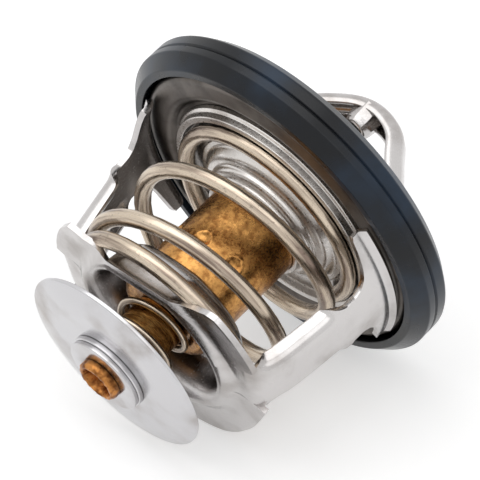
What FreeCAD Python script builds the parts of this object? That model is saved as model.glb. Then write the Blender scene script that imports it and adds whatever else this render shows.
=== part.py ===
import FreeCAD, Part
import math
import os

import Sketcher

# Engine coolant thermostat, wax element type, with a main valve and a bypass disc.
# The origin is on the axis, in the mid plane of the rubber rim seal.
# +Z points to the upper bridge, and the two legs of the lower frame stand at +X and -X.
# All lengths are millimetres.

SIZES = (
    ("element_radius", 7.6, "outside radius of the wax element"),
    ("element_wall", 0.7, "wall of the wax element"),
    ("element_bottom", 25.8, "depth of the bottom of the element"),
    ("element_taper", 0.9, "radial width of the shoulder at its bottom"),
    ("dimple_depth", 15.5, "depth of the ring of dimples"),
    ("dimple_radius", 1.3, "radius of the ball that presses a dimple"),
    ("dimple_bite", 0.35, "how deep a dimple goes"),
    ("dimple_count", 8.0, "dimples in the ring"),
    ("running_gap", 0.05, "radial clearance of sliding fits"),
    ("cap_sheet", 0.6, "sheet thickness of the retaining cap"),
    ("cap_neck_step", 0.95, "radial width of the step above the neck"),
    ("cap_ledge", 1.9, "radial width of the ledge"),
    ("cap_cone", 1.1, "radial width of the cone above the ledge"),
    ("cap_cone_rise", 1.5, "height of the cone"),
    ("cap_wall", 1.1, "height of the wall under the ledge"),
    ("cap_neck", 1.5, "height of the neck on the element"),
    ("cap_bend", 0.1, "inside bend radius of the retaining cap"),
    ("spring_wire", 2.5, "wire diameter of the main spring"),
    ("spring_gap", 1.55, "radial gap between the cap and the main spring"),
    ("spring_barrel", 0.4, "how much wider the middle turns are"),
    ("spring_foot", 0.8, "how much narrower the turn on the plate is"),
    ("spring_free_turns", 2.0, "free turns of the main spring"),
    ("spring_slack", 0.1, "clearance between the end of a coil spring and its seat"),
    ("cup_gap", 0.75, "radial gap between the spring and the valve cup"),
    ("valve_sheet", 0.9, "sheet thickness of the main valve"),
    ("valve_flare", 0.6, "how far the top of the valve stands out from its cup"),
    ("valve_cup", 2.1, "height of the main valve"),
    ("valve_bend", 0.15, "inside bend radius of the main valve"),
    ("hub_radius", 5.6, "radius of the guide hub that the valve sits on"),
    ("seat_drop", 1.1, "depth of the valve seat under the mid plane"),
    ("seat_overlap", 2.4, "radial width of the seat over the valve"),
    ("seat_gap", 1.1, "radial gap round the valve in its recess"),
    ("recess_slope", 1.0, "radial width of the slope between the seat and the floor"),
    ("floor_drop", 2.4, "depth of the flange floor under the mid plane"),
    ("flange_sheet", 0.8, "sheet thickness of the flange"),
    ("flange_bend", 0.3, "inside bend radius of the flange"),
    ("head_gap", 1.9, "radial width of the floor inside the leg heads"),
    ("frame_sheet", 0.9, "sheet thickness of the lower frame"),
    ("head_flare", 0.9, "radial width of the flare on top of a head"),
    ("step_gap", 0.1, "radial gap between a head and the step of the flange"),
    ("step_run", 0.85, "radial width between the step and the seal"),
    ("seal_bite", 1.35, "how far the seal reaches in over the brim"),
    ("seal_cover", 1.4, "rubber outside the brim"),
    ("seal_slack", 0.03, "clearance between the brim and its slot in the seal"),
    ("seal_half_height", 3.5, "half the thickness of the seal"),
    ("seal_land_half", 2.0, "half the height of the cylindrical land"),
    ("seal_bevel", 1.7, "radial width of the bevel beside the land"),
    ("seal_groove_depth", 0.35, "depth of the groove round the land"),
    ("seal_groove_half", 0.28, "half the width of that groove"),
    ("seal_round", 0.8, "rounding of the edges of the land and the bevel"),
    ("guide_plug", 6.0, "depth of the guide plug inside the element"),
    ("guide_height", 1.6, "height of the guide above the mid plane"),
    ("ring_width", 1.8, "radial width of the retaining ring"),
    ("ring_thick", 0.8, "thickness of the retaining ring"),
    ("piston_radius", 1.65, "radius of the piston"),
    ("piston_end", 17.0, "depth of the lower end of the piston"),
    ("boot_wall", 1.4, "wall of the rubber boot"),
    ("boot_end", 20.0, "depth of the closed end of the boot"),
    ("packing_thick", 0.9, "thickness of the packing washer"),
    ("plate_drop", 27.4, "depth of the lower face of the frame plate"),
    ("plate_margin", 3.55, "radial width of the plate outside the spring"),
    ("chord_half", 9.6, "half the length of the straight edge of the plate"),
    ("wing_run", 3.8, "how far a wing runs past the straight edge"),
    ("wing_rise", 0.9, "how far the end of a wing stands out from that edge"),
    ("chord_rim", 0.8, "rim left between the bowl and the straight edge"),
    ("boss_width", 3.4, "radial width of the bottom of the bowl"),
    ("boss_height", 5.2, "height of the bowl bottom above the plate"),
    ("bowl_draft", 1.2, "radial draft of the bowl wall"),
    ("crest_width", 2.2, "radial width of the rolled rim of the bowl"),
    ("crest_drop", 1.5, "how far the rim of the bowl stands under the plate"),
    ("frame_bend", 0.6, "inside bend radius of the lower frame"),
    ("leg_half_width", 3.6, "half the width of a leg"),
    ("leg_margin", 0.5, "how far the root of a leg stands outside the plate"),
    ("head_angle", 60.0, "angle that a leg head spans"),
    ("head_neck", 11.8, "depth where the leg widens into its head"),
    ("head_side", 5.2, "depth of the lower corner of a head"),
    ("head_corner", 4.0, "width that the head gains on each side of the leg"),
    ("leg_channel", 2.9, "depth of the channel of a leg"),
    ("leg_roll", 1.6, "run of the rolled corner of a leg"),
    ("bypass_spring_mean", 5.2, "mean radius of the bypass spring"),
    ("bypass_wire", 1.0, "wire diameter of the bypass spring"),
    ("bypass_free_turns", 2.0, "free turns of the bypass spring"),
    ("stem_radius", 3.3, "radius of the bypass stem"),
    ("stem_lip", 0.4, "how far the spun end stands out from the stem"),
    ("stem_bore", 1.1, "wall of the stem round the hole in its end"),
    ("stem_hole_depth", 4.0, "depth of that hole"),
    ("stem_tip", 38.8, "depth of the tip of the stem"),
    ("disc_radius", 15.35, "radius of the bypass disc"),
    ("disc_sheet", 0.8, "sheet thickness of the bypass disc"),
    ("disc_drop", 35.8, "depth of the outer face of the bypass disc"),
    ("disc_dish", 0.5, "how far the edge of the disc is dished back"),
    ("disc_slope", 7.0, "radial width of the dished edge of the disc"),
    ("washer_width", 3.0, "radial width of the inner washer"),
    ("washer_step", 0.2, "how much smaller the outer washer is"),
    ("washer_thick", 0.8, "thickness of each washer"),
    ("bridge_height", 20.9, "height of the top of the bridge"),
    ("bridge_half_width", 2.4, "half the width of the bridge channel"),
    ("bridge_sheet", 0.8, "sheet thickness of the bridge"),
    ("bridge_depth", 2.1, "depth of the channel sides"),
    ("crown_half", 2.4, "half the flat top of the bridge"),
    ("shoulder_reach", 7.2, "reach of the shoulder of the bridge"),
    ("shoulder_height", 17.2, "height of the shoulder"),
    ("knee_reach", 12.6, "reach of the knee of the bridge"),
    ("knee_height", 11.4, "height of the knee"),
    ("foot_reach", 16.6, "reach of the bridge where its foot turns"),
    ("foot_length", 2.0, "length of the foot on the flange"),
    ("pocket_radius", 3.3, "outside radius of the piston pocket"),
    ("pocket_bottom", 15.5, "height of the under side of the piston pocket"),
)

doc = FreeCAD.newDocument("Thermostat")
sheet = doc.addObject("Spreadsheet::Sheet", "Sizes")


class Size:
    """A length that carries its number and the sheet expression that gives it."""

    def __init__(self, value, text):
        self.value = value
        self.text = text

    def join(self, other, sign, value):
        return Size(value, f"({self.text} {sign} {other.text})")

    def __add__(self, other):
        other = as_size(other)
        return self.join(other, "+", self.value + other.value)

    def __sub__(self, other):
        other = as_size(other)
        return self.join(other, "-", self.value - other.value)

    def __mul__(self, other):
        other = as_size(other)
        return self.join(other, "*", self.value * other.value)

    def __neg__(self):
        return Size(-self.value, f"(0 - {self.text})")


def as_size(item):
    return item if isinstance(item, Size) else Size(float(item), f"{float(item):.9f}")


class Sizes:
    """The driving dimensions, each readable as size.alias."""


size = Sizes()
for row, (alias, number, note) in enumerate(SIZES, start=1):
    sheet.set(f"A{row}", note)
    sheet.set(f"B{row}", str(number))
    sheet.setAlias(f"B{row}", alias)
    setattr(size, alias, Size(number, f"Sizes.{alias}"))
doc.recompute()

ZERO = as_size(0.0)
nodes = []


def add_radii():
    """Work out the radii from the wax element outward, each from the one inside it."""
    s = size
    s.cap_neck_radius = s.element_radius + s.running_gap + s.cap_sheet
    s.cap_wall_radius = s.cap_neck_radius + s.cap_neck_step
    s.cap_ledge_radius = s.cap_wall_radius + s.cap_ledge
    s.cap_radius = s.cap_ledge_radius + s.cap_cone
    s.spring_mean = s.cap_radius + s.spring_gap + s.spring_wire * 0.5
    s.cup_bore = s.spring_mean + s.spring_wire * 0.5 + s.cup_gap
    s.cup_radius = s.cup_bore + s.valve_sheet
    s.valve_radius = s.cup_radius + s.valve_flare
    s.seat_bore = s.valve_radius - s.seat_overlap
    s.recess_radius = s.valve_radius + s.seat_gap
    s.floor_radius = s.recess_radius + s.recess_slope
    s.head_radius = s.floor_radius + s.head_gap + s.frame_sheet
    s.step_radius = s.head_radius + s.head_flare + s.step_gap
    s.lip_radius = s.step_radius + s.step_run
    s.brim_radius = s.lip_radius + s.seal_bite
    s.seal_radius = s.brim_radius + s.seal_cover
    s.plate_radius = s.spring_mean + s.spring_wire * 0.5 + s.plate_margin
    s.boss_radius = s.element_radius + s.boss_width
    s.crest_radius = s.boss_radius + s.bowl_draft
    s.crest_base = s.crest_radius + s.crest_width
    s.chord_drop = s.crest_radius + s.chord_rim
    s.boss_drop = s.plate_drop - s.boss_height
    s.leg_root = s.plate_radius + s.leg_margin
    s.piston_bore = s.piston_radius + s.running_gap
    s.boot_radius = s.piston_bore + s.boot_wall
    s.cup_inside = s.element_radius - s.element_wall


def add_levels():
    """Work out the levels under the valve seat, each from the one above it."""
    s = size
    s.valve_under = s.seat_drop + s.valve_sheet
    s.cap_under = s.valve_under + s.cap_sheet
    s.ledge_drop = s.cap_under + s.cap_cone_rise
    s.wall_drop = s.ledge_drop + s.cap_wall
    s.neck_drop = s.wall_drop + s.cap_neck
    s.rim_low = s.wall_drop - s.cap_sheet
    s.rim_high = s.rim_low - s.element_wall
    s.rim_radius = s.cap_wall_radius - s.cap_sheet - s.cap_bend - s.running_gap


add_radii()
add_levels()


def new_body(label):
    body = doc.addObject("PartDesign::Body", label)
    body.Label = label
    nodes.append(body)
    return body


def new_sketch(body, name, role):
    sketch = body.newObject("Sketcher::SketchObject", name)
    planes = [item for item in body.Origin.OriginFeatures if item.Role == role]
    sketch.AttachmentSupport = [(planes[0], "")]
    sketch.MapMode = "FlatFace"
    return sketch


def pin_point(sketch, line, across, up, end=1):
    """Tie one end of a line to two sizes measured from the origin."""
    for kind, length, axis in (("DistanceX", across, -2), ("DistanceY", up, -1)):
        if abs(length.value) < 1e-9:
            sketch.addConstraint(Sketcher.Constraint("PointOnObject", line, end, axis))
            continue
        rule = Sketcher.Constraint(kind, -1, 1, line, end, length.value)
        index = sketch.addConstraint(rule)
        sketch.setExpression(f"Constraints[{index}]", length.text)


def outline(body, name, role, points):
    """Draw a closed outline whose corners are tied to the sheet."""
    sketch = new_sketch(body, name, role)
    corners = [FreeCAD.Vector(x.value, y.value, 0) for x, y in points]
    count = len(corners)
    for index in range(count):
        edge = Part.LineSegment(corners[index], corners[(index + 1) % count])
        sketch.addGeometry(edge, False)
    for index in range(count):
        joint = Sketcher.Constraint("Coincident", index, 2, (index + 1) % count, 1)
        sketch.addConstraint(joint)
    for index, (x, y) in enumerate(points):
        pin_point(sketch, index, x, y)
    return sketch


def revolve(body, name, sketch, kind="Revolution", angle=None):
    feature = body.newObject(f"PartDesign::{kind}", name)
    feature.Profile = sketch
    feature.ReferenceAxis = (sketch, ["V_Axis"])
    feature.Angle = 360.0
    if angle is not None:
        feature.Midplane = True
        feature.setExpression("Angle", angle.text)
    return feature


def extrude(body, name, sketch, length, kind="Pad"):
    feature = body.newObject(f"PartDesign::{kind}", name)
    feature.Profile = sketch
    feature.Midplane = True
    feature.setExpression("Length", length.text)
    return feature


def round_edges(body, name, radius, wanted):
    """Round the edges of the body's tip that the test called wanted picks."""
    doc.recompute()
    base = body.Tip
    edges = [
        f"Edge{index}"
        for index, edge in enumerate(base.Shape.Edges, start=1)
        if wanted(edge)
    ]
    if not edges:
        raise RuntimeError(f"{name} finds no edge")
    feature = body.newObject("PartDesign::Fillet", name)
    feature.Base = (base, edges)
    feature.setExpression("Radius", radius.text)
    return feature


def is_ring(edge, places):
    """True for a circular edge about the axis at one of the radius and height pairs."""
    curve = edge.Curve
    if not isinstance(curve, Part.Circle):
        return False
    return any(
        abs(curve.Radius - r.value) < 1e-4 and abs(curve.Center.z - z.value) < 1e-4
        for r, z in places
    )


def side_line(points, distance):
    """Offset an open line to its left by a sheet thickness, with mitred corners."""
    normals = []
    for (x0, y0), (x1, y1) in zip(points, points[1:]):
        dx = x1.value - x0.value
        dy = y1.value - y0.value
        run = math.hypot(dx, dy)
        normals.append((-dy / run, dx / run))
    moved = []
    for index, (x, y) in enumerate(points):
        first = normals[max(index - 1, 0)]
        second = normals[min(index, len(normals) - 1)]
        share = 1.0 + first[0] * second[0] + first[1] * second[1]
        along_x = (first[0] + second[0]) / share
        along_y = (first[1] + second[1]) / share
        moved.append((x + distance * along_x, y + distance * along_y))
    return moved


def softened(points, run, steps=4):
    """Round each corner of an open line, starting a given run before it."""
    line = [points[0]]
    for before, corner, after in zip(points, points[1:], points[2:]):
        start = toward(corner, before, run)
        end = toward(corner, after, run)
        for index in range(steps + 1):
            u = index / steps
            near, middle, far = (1 - u) ** 2, 2 * u * (1 - u), u**2
            line.append(
                tuple(a * near + b * middle + c * far for a, b, c in zip(start, corner, end))
            )
    line.append(points[-1])
    return line


def toward(corner, other, run):
    """The point that lies a given run from a corner on the way to another."""
    reach = math.hypot(other[0].value - corner[0].value, other[1].value - corner[1].value)
    share = run / reach
    return tuple(a + (b - a) * share for a, b in zip(corner, other))


def bends(points, moved):
    """Split the bends of a sheet line into its inside and its outside corners."""
    inside = []
    outside = []
    for index in range(1, len(points) - 1):
        (x0, y0), (x1, y1), (x2, y2) = points[index - 1 : index + 2]
        turn = (x1.value - x0.value) * (y2.value - y1.value)
        turn -= (y1.value - y0.value) * (x2.value - x1.value)
        left = turn > 0
        inside.append(moved[index] if left else points[index])
        outside.append(points[index] if left else moved[index])
    return inside, outside


def pressed(label, line, thick, bend):
    """A sheet pressing of revolution: its line is one face and the sheet lies to its left."""
    body = new_body(label)
    moved = side_line(line, thick)
    sketch = outline(body, label + "_section", "XZ_Plane", line + moved[::-1])
    revolve(body, label + "_turn", sketch)
    inside, outside = bends(line, moved)
    round_edges(body, label + "_inner_bends", bend, lambda edge: is_ring(edge, inside))
    outer = bend + thick
    round_edges(body, label + "_outer_bends", outer, lambda edge: is_ring(edge, outside))
    return body


def turned(label, points):
    body = new_body(label)
    sketch = outline(body, label + "_section", "XZ_Plane", points)
    revolve(body, label + "_turn", sketch)
    return body


# Rim seal: a rubber ring with a slot that grips the brim of the flange.
def make_seal():
    s = size
    slot_half = s.flange_sheet * 0.5 + s.seal_slack
    slot_radius = s.brim_radius + s.seal_slack
    bevel_radius = s.seal_radius - s.seal_bevel
    upper = [
        (s.seal_radius, s.seal_groove_half),
        (s.seal_radius, s.seal_land_half),
        (bevel_radius, s.seal_half_height),
        (s.lip_radius, s.seal_half_height),
        (s.lip_radius, slot_half),
        (slot_radius, slot_half),
    ]
    lower = [(x, -z) for x, z in reversed(upper)]
    groove_floor = s.seal_radius - s.seal_groove_depth
    body = turned("seal_ring", [(groove_floor, ZERO)] + upper + lower)
    crest = [(s.seal_radius, s.seal_land_half), (s.seal_radius, -s.seal_land_half)]
    crest += [(bevel_radius, s.seal_half_height), (bevel_radius, -s.seal_half_height)]
    round_edges(body, "seal_crests", s.seal_round, lambda edge: is_ring(edge, crest))


# Flange: brim, step down to a floor, and a slope up to the raised valve seat.
def make_flange():
    s = size
    half_sheet = s.flange_sheet * 0.5
    line = [
        (s.seat_bore, -s.seat_drop),
        (s.recess_radius, -s.seat_drop),
        (s.floor_radius, -s.floor_drop),
        (s.step_radius, -s.floor_drop),
        (s.step_radius + s.flange_bend, -half_sheet),
        (s.brim_radius, -half_sheet),
    ]
    pressed("flange", line, s.flange_sheet, s.flange_bend)


# Main valve: a shallow pan that closes on the seat, its rim round the spring.
def make_valve():
    s = size
    line = [
        (s.cup_radius, -s.seat_drop - s.valve_cup),
        (s.valve_radius, -s.seat_drop),
        (s.hub_radius + s.running_gap, -s.seat_drop),
    ]
    pressed("main_valve", line, s.valve_sheet, s.valve_bend)


# Retaining cap: the spring's seat, then a cone and two steps down to the element.
def make_cap():
    s = size
    line = [
        (s.cap_neck_radius, -s.neck_drop),
        (s.cap_neck_radius, -s.wall_drop),
        (s.cap_wall_radius, -s.wall_drop),
        (s.cap_wall_radius, -s.ledge_drop),
        (s.cap_ledge_radius, -s.ledge_drop),
        (s.cap_radius, -s.cap_under),
        (s.cup_bore - s.cup_gap * 0.5, -s.cap_under),
    ]
    pressed("retaining_cap", line, s.cap_sheet, s.cap_bend)


# Wax element: a drawn cup with a rim under the cap and a ring of dimples.
def make_element():
    s = size
    bore = s.cup_inside
    shoulder = s.element_radius - s.element_taper
    bottom = -s.element_bottom
    points = [
        (s.stem_radius, bottom),
        (shoulder, bottom),
        (s.element_radius, bottom + s.element_taper),
        (s.element_radius, -s.rim_low),
        (s.rim_radius, -s.rim_low),
        (s.rim_radius, -s.rim_high),
        (bore, -s.rim_high),
        (bore, bottom + s.element_taper + s.element_wall),
        (shoulder - s.element_wall, bottom + s.element_wall),
        (s.stem_radius, bottom + s.element_wall),
    ]
    body = turned("element_cup", points)
    sketch = half_disc(body, "dimple_arc", s.element_radius + s.dimple_radius - s.dimple_bite)
    dent = body.newObject("PartDesign::Groove", "dimple")
    dent.Profile = sketch
    dent.ReferenceAxis = (sketch, ["Edge2"])
    dent.Angle = 360.0
    pattern = body.newObject("PartDesign::PolarPattern", "dimple_ring")
    pattern.Originals = [dent]
    pattern.Axis = (sketch, ["V_Axis"])
    pattern.Angle = 360.0
    pattern.setExpression("Occurrences", s.dimple_count.text)
    body.Tip = pattern


def half_disc(body, name, reach):
    """The half disc that turns into the ball of a dimple, its flat side away from the axis."""
    s = size
    sketch = new_sketch(body, name, "XZ_Plane")
    radius = s.dimple_radius.value
    middle = FreeCAD.Vector(reach.value, -s.dimple_depth.value, 0)
    top = middle + FreeCAD.Vector(0, radius, 0)
    low = middle - FreeCAD.Vector(0, radius, 0)
    whole = Part.Circle(middle, FreeCAD.Vector(0, 0, 1), radius)
    sketch.addGeometry(Part.ArcOfCircle(whole, math.pi / 2, 3 * math.pi / 2), False)
    sketch.addGeometry(Part.LineSegment(low, top), False)
    sketch.addConstraint(Sketcher.Constraint("Coincident", 0, 2, 1, 1))
    sketch.addConstraint(Sketcher.Constraint("Coincident", 1, 2, 0, 1))
    sketch.addConstraint(Sketcher.Constraint("PointOnObject", 0, 3, 1))
    sketch.addConstraint(Sketcher.Constraint("Vertical", 1))
    ties = (
        (Sketcher.Constraint("DistanceX", -1, 1, 0, 3, middle.x), reach),
        (Sketcher.Constraint("DistanceY", -1, 1, 0, 3, middle.y), -s.dimple_depth),
        (Sketcher.Constraint("Radius", 0, radius), s.dimple_radius),
    )
    for rule, length in ties:
        index = sketch.addConstraint(rule)
        sketch.setExpression(f"Constraints[{index}]", length.text)
    return sketch


# Piston guide: plug in the mouth of the element, with a hub through the valve.
def make_guide():
    s = size
    bore = s.piston_bore
    plug = s.cup_inside
    points = [
        (bore, -s.guide_plug),
        (plug, -s.guide_plug),
        (plug, -s.rim_high),
        (s.rim_radius, -s.rim_high),
        (s.rim_radius, -s.valve_under),
        (s.hub_radius, -s.valve_under),
        (s.hub_radius, s.guide_height),
        (bore, s.guide_height),
    ]
    turned("piston_guide", points)


# Retaining ring on the hub, above the valve.
def make_ring():
    s = size
    high = s.ring_thick - s.seat_drop
    points = [
        (s.hub_radius, -s.seat_drop),
        (s.hub_radius + s.ring_width, -s.seat_drop),
        (s.hub_radius + s.ring_width, high),
        (s.hub_radius, high),
    ]
    turned("retaining_ring", points)


# Piston: its top stands in the pocket of the bridge and never moves.
def make_piston():
    s = size
    tip = s.pocket_bottom
    chamfer = s.piston_radius * 0.3
    points = [
        (ZERO, -s.piston_end),
        (s.piston_radius - chamfer, -s.piston_end),
        (s.piston_radius, -s.piston_end + chamfer),
        (s.piston_radius, tip - chamfer),
        (s.piston_radius - chamfer, tip),
        (ZERO, tip),
    ]
    turned("piston", points)


# Packing washer that keeps the rubber boot out of the piston bore.
def make_packing():
    s = size
    bore = s.piston_bore
    plug = s.cup_inside
    low = -s.guide_plug - s.packing_thick
    points = [(bore, low), (plug, low), (plug, -s.guide_plug), (bore, -s.guide_plug)]
    turned("packing_washer", points)


# Rubber boot round the piston: a flange under the packing and a closed sleeve.
def make_boot():
    s = size
    bore = s.piston_bore
    sleeve = s.boot_radius
    plug = s.cup_inside
    top = -s.guide_plug - s.packing_thick
    end = -s.piston_end - s.running_gap
    points = [
        (ZERO, -s.boot_end),
        (sleeve, -s.boot_end),
        (sleeve, top - s.packing_thick),
        (plug, top - s.packing_thick),
        (plug, top),
        (bore, top),
        (bore, end),
        (ZERO, end),
    ]
    turned("rubber_boot", points)


# Wax charge: fills the cup round the boot, with a waist inside the dimples.
def make_wax():
    s = size
    top = -s.guide_plug - s.packing_thick * 2
    floor = s.element_wall * 2 - s.element_bottom
    bore = s.cup_inside
    points = [
        (ZERO, floor),
        (bore - s.element_taper, floor),
        (bore, floor + s.element_taper),
        (bore, top),
        (s.boot_radius, top),
        (s.boot_radius, -s.boot_end),
        (ZERO, -s.boot_end),
    ]
    body = turned("wax_charge", points)
    waist = bore - s.dimple_bite
    low = -s.dimple_depth - s.dimple_radius
    high = s.dimple_radius - s.dimple_depth
    outside = bore + s.dimple_radius
    points = [(waist, low), (outside, low), (outside, high), (waist, high)]
    sketch = outline(body, "wax_waist_section", "XZ_Plane", points)
    revolve(body, "wax_waist", sketch, kind="Groove")


# Lower frame: plate with a drawn bowl, two channel legs and their wide heads.
def make_frame():
    s = size
    line = [
        (s.element_radius + s.running_gap, -s.boss_drop),
        (s.boss_radius, -s.boss_drop),
        (s.crest_radius, -s.plate_drop - s.crest_drop),
        (s.crest_base, -s.plate_drop),
        (s.plate_radius, -s.plate_drop),
    ]
    body = pressed("lower_frame", line, s.frame_sheet, s.frame_bend)
    trim_plate(body)
    made = [add_leg(body), add_channel(body), add_head(body)]
    made += trim_head(body)
    pattern = body.newObject("PartDesign::PolarPattern", "second_leg")
    pattern.Originals = made
    axis = [item for item in body.Origin.OriginFeatures if item.Role == "Z_Axis"][0]
    pattern.Axis = (axis, [""])
    pattern.Angle = 360.0
    pattern.Occurrences = 2
    body.Tip = pattern


def trim_plate(body):
    """Cut a straight edge past the bowl on the -Y side, between two rounded wings."""
    s = size
    wing = s.chord_half + s.wing_run
    inner = s.chord_drop + s.wing_rise
    reach = s.plate_radius + s.spring_wire
    points = [
        (-s.chord_half, -s.chord_drop),
        (s.chord_half, -s.chord_drop),
        (wing, -inner),
        (wing, -reach),
        (-wing, -reach),
        (-wing, -inner),
    ]
    sketch = outline(body, "chord_cut", "XY_Plane", points)
    extrude(body, "chord", sketch, s.plate_drop * 4.0, kind="Pocket")


def add_leg(body):
    """A strap bent up from the plate and leaning out to its head."""
    s = size
    line = [
        (s.crest_base + s.frame_sheet, -s.plate_drop),
        (s.leg_root, -s.plate_drop),
        (s.head_radius, -s.head_neck),
        (s.head_radius, -s.head_side),
    ]
    line = softened(line, s.frame_sheet.value * 2.0)
    moved = side_line(line, s.frame_sheet)
    sketch = outline(body, "leg_side", "XZ_Plane", line + moved[::-1])
    return extrude(body, "leg_strap", sketch, (s.leg_half_width - s.leg_roll) * 2.0)


def add_channel(body):
    """The two edges of the leg, rolled inward so that it is a stiff channel."""
    s = size
    path = new_sketch(body, "channel_path", "XZ_Plane")
    low = (s.leg_root, -s.plate_drop)
    high = (s.head_radius, -s.head_neck)
    ends = [FreeCAD.Vector(x.value, z.value, 0) for x, z in (low, high)]
    path.addGeometry(Part.LineSegment(ends[0], ends[1]), False)
    pin_point(path, 0, low[0], low[1])
    pin_point(path, 0, high[0], high[1], end=2)
    inner = s.leg_root - s.leg_channel
    across = [
        (inner, -s.leg_half_width),
        (s.leg_root, -s.leg_half_width),
        (s.leg_root, s.leg_half_width),
        (inner, s.leg_half_width),
    ]
    across = softened(across, s.leg_roll.value)
    moved = side_line(across, s.frame_sheet)
    section = outline(body, "channel_section", "XY_Plane", across + moved[::-1])
    section.AttachmentOffset = FreeCAD.Placement(
        FreeCAD.Vector(0, 0, low[1].value), FreeCAD.Rotation()
    )
    section.setExpression("AttachmentOffset.Base.z", low[1].text)
    pipe = body.newObject("PartDesign::AdditivePipe", "channel")
    pipe.Profile = section
    pipe.Spine = (path, ["Edge1"])
    return pipe


def add_head(body):
    """A wide head rolled round the axis, flared where it meets the flange."""
    s = size
    top = -s.floor_drop - s.frame_sheet * math.sqrt(0.5) - s.seal_slack
    line = [
        (s.head_radius, -s.head_neck),
        (s.head_radius, top - s.head_flare),
        (s.head_radius + s.head_flare, top),
    ]
    moved = side_line(line, s.frame_sheet)
    sketch = outline(body, "head_section", "XZ_Plane", line + moved[::-1])
    return revolve(body, "leg_head", sketch, angle=s.head_angle)


def trim_head(body):
    """Cut away the lower corners, so that the head narrows down to the leg."""
    s = size
    low = -s.head_neck - s.frame_sheet
    made = []
    for side, name in ((1.0, "right_corner"), (-1.0, "left_corner")):
        points = [
            (s.leg_half_width * side, low),
            (s.leg_half_width * side, s.frame_sheet - s.head_neck),
            ((s.leg_half_width + s.head_corner) * side, -s.head_side),
            (s.head_radius * side, -s.head_side),
            (s.head_radius * side, low),
        ]
        sketch = outline(body, name + "_outline", "YZ_Plane", points)
        made.append(extrude(body, name, sketch, s.head_radius * 4.0, kind="Pocket"))
    return made


# Coil springs: close turns at both ends and free turns between them.
def blend_stations(stations, turn):
    """Height and radius at a turn, eased between the stations on its two sides."""
    for (t0, z0, r0), (t1, z1, r1) in zip(stations, stations[1:]):
        if turn <= t1 + 1e-9:
            share = (turn - t0) / (t1 - t0)
            eased = share * share * (3.0 - 2.0 * share)
            return z0 + (z1 - z0) * share, r0 + (r1 - r0) * eased
    return stations[-1][1], stations[-1][2]


def coil_path(stations):
    """One smooth curve through points along the coil, twelve to a turn."""
    last = stations[-1][0]
    count = round(last * 12)
    points = []
    for index in range(count + 1):
        turn = last * index / count
        height, radius = blend_stations(stations, turn)
        angle = 2.0 * math.pi * turn
        points.append(FreeCAD.Vector(radius * math.cos(angle), radius * math.sin(angle), height))
    curve = Part.BSplineCurve()
    curve.interpolate(points)
    return Part.Wire([curve.toShape()])


def make_coil(label, wire, low, stations, start_angle):
    """Sweep the wire along its path and stand it on its lower seat."""
    path = coil_path(stations)
    edge = path.Edges[0]
    origin = edge.valueAt(edge.FirstParameter)
    heading = edge.tangentAt(edge.FirstParameter)
    section = Part.Wire([Part.makeCircle(wire / 2.0, origin, heading)])
    feature = doc.addObject("Part::Feature", label)
    feature.Label = label
    feature.Shape = path.makePipeShell([section], True, True)
    spin = FreeCAD.Rotation(FreeCAD.Vector(0, 0, 1), start_angle)
    feature.Placement = FreeCAD.Placement(FreeCAD.Vector(0, 0, low + wire / 2.0), spin)
    nodes.append(feature)


def make_main_spring():
    s = size
    slack = s.spring_slack.value
    seat = s.frame_sheet.value - s.plate_drop.value + slack
    wire = s.spring_wire.value
    height = -s.cap_under.value - slack - seat - wire
    mean = s.spring_mean.value
    wide = mean + s.spring_barrel.value
    free = s.spring_free_turns.value
    stations = (
        (0.0, 0.0, mean - s.spring_foot.value),
        (1.0, wire * 0.9, wide),
        (1.0 + free / 2.0, height * 0.58, wide),
        (1.0 + free, height, mean),
        (1.65 + free, height, mean),
    )
    make_coil("main_spring", wire, seat, stations, -156.0)


# Bypass stem: a brass tube end pressed into the bottom of the element and spun over.
def make_stem():
    s = size
    washers = -s.disc_drop - s.washer_thick * 2.0
    tip = -s.stem_tip
    lip = s.stem_radius + s.stem_lip
    hole = s.stem_radius - s.stem_bore
    points = [
        (ZERO, tip + s.stem_hole_depth),
        (hole, tip + s.stem_hole_depth),
        (hole, tip),
        (lip, tip),
        (lip, washers),
        (s.stem_radius, washers),
        (s.stem_radius, s.element_wall * 2 - s.element_bottom),
        (ZERO, s.element_wall * 2 - s.element_bottom),
    ]
    body = turned("bypass_stem", points)
    rim = [(lip, tip), (hole, tip)]
    round_edges(body, "spun_rim", s.stem_lip, lambda edge: is_ring(edge, rim))


# Bypass disc: a thin plate dished back at its edge, loose on the stem.
def make_bypass_disc():
    s = size
    line = [
        (s.stem_radius + s.running_gap, -s.disc_drop),
        (s.disc_radius - s.disc_slope, -s.disc_drop),
        (s.disc_radius, s.disc_dish - s.disc_drop),
    ]
    moved = side_line(line, s.disc_sheet)
    body = turned("bypass_disc", line + moved[::-1])
    rim = [line[-1], moved[-1]]
    round_edges(body, "disc_edge", s.disc_sheet * 0.3, lambda edge: is_ring(edge, rim))


# Two washers under the disc, held by the spun end of the stem.
def make_washers():
    s = size
    bore = s.stem_radius
    top = -s.disc_drop
    radius = s.stem_radius + s.washer_width
    for label in ("bypass_washer_inner", "bypass_washer_outer"):
        low = top - s.washer_thick
        points = [(bore, low), (radius, low), (radius, top), (bore, top)]
        body = turned(label, points)
        rim = [(radius, low)]
        edge_round = s.washer_thick * 0.3
        round_edges(body, label + "_edge", edge_round, lambda edge: is_ring(edge, rim))
        top = low
        radius = radius - s.washer_step


def make_bypass_spring():
    s = size
    slack = s.spring_slack.value
    seat = s.disc_sheet.value - s.disc_drop.value + slack
    wire = s.bypass_wire.value
    height = -s.element_bottom.value - slack - seat - wire
    mean = s.bypass_spring_mean.value
    closed = wire * 1.05
    free = s.bypass_free_turns.value
    stations = (
        (0.0, 0.0, mean),
        (1.0, closed, mean),
        (1.0 + free, height - closed, mean),
        (2.0 + free, height, mean),
    )
    make_coil("bypass_spring", wire, seat, stations, 60.0)


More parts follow.
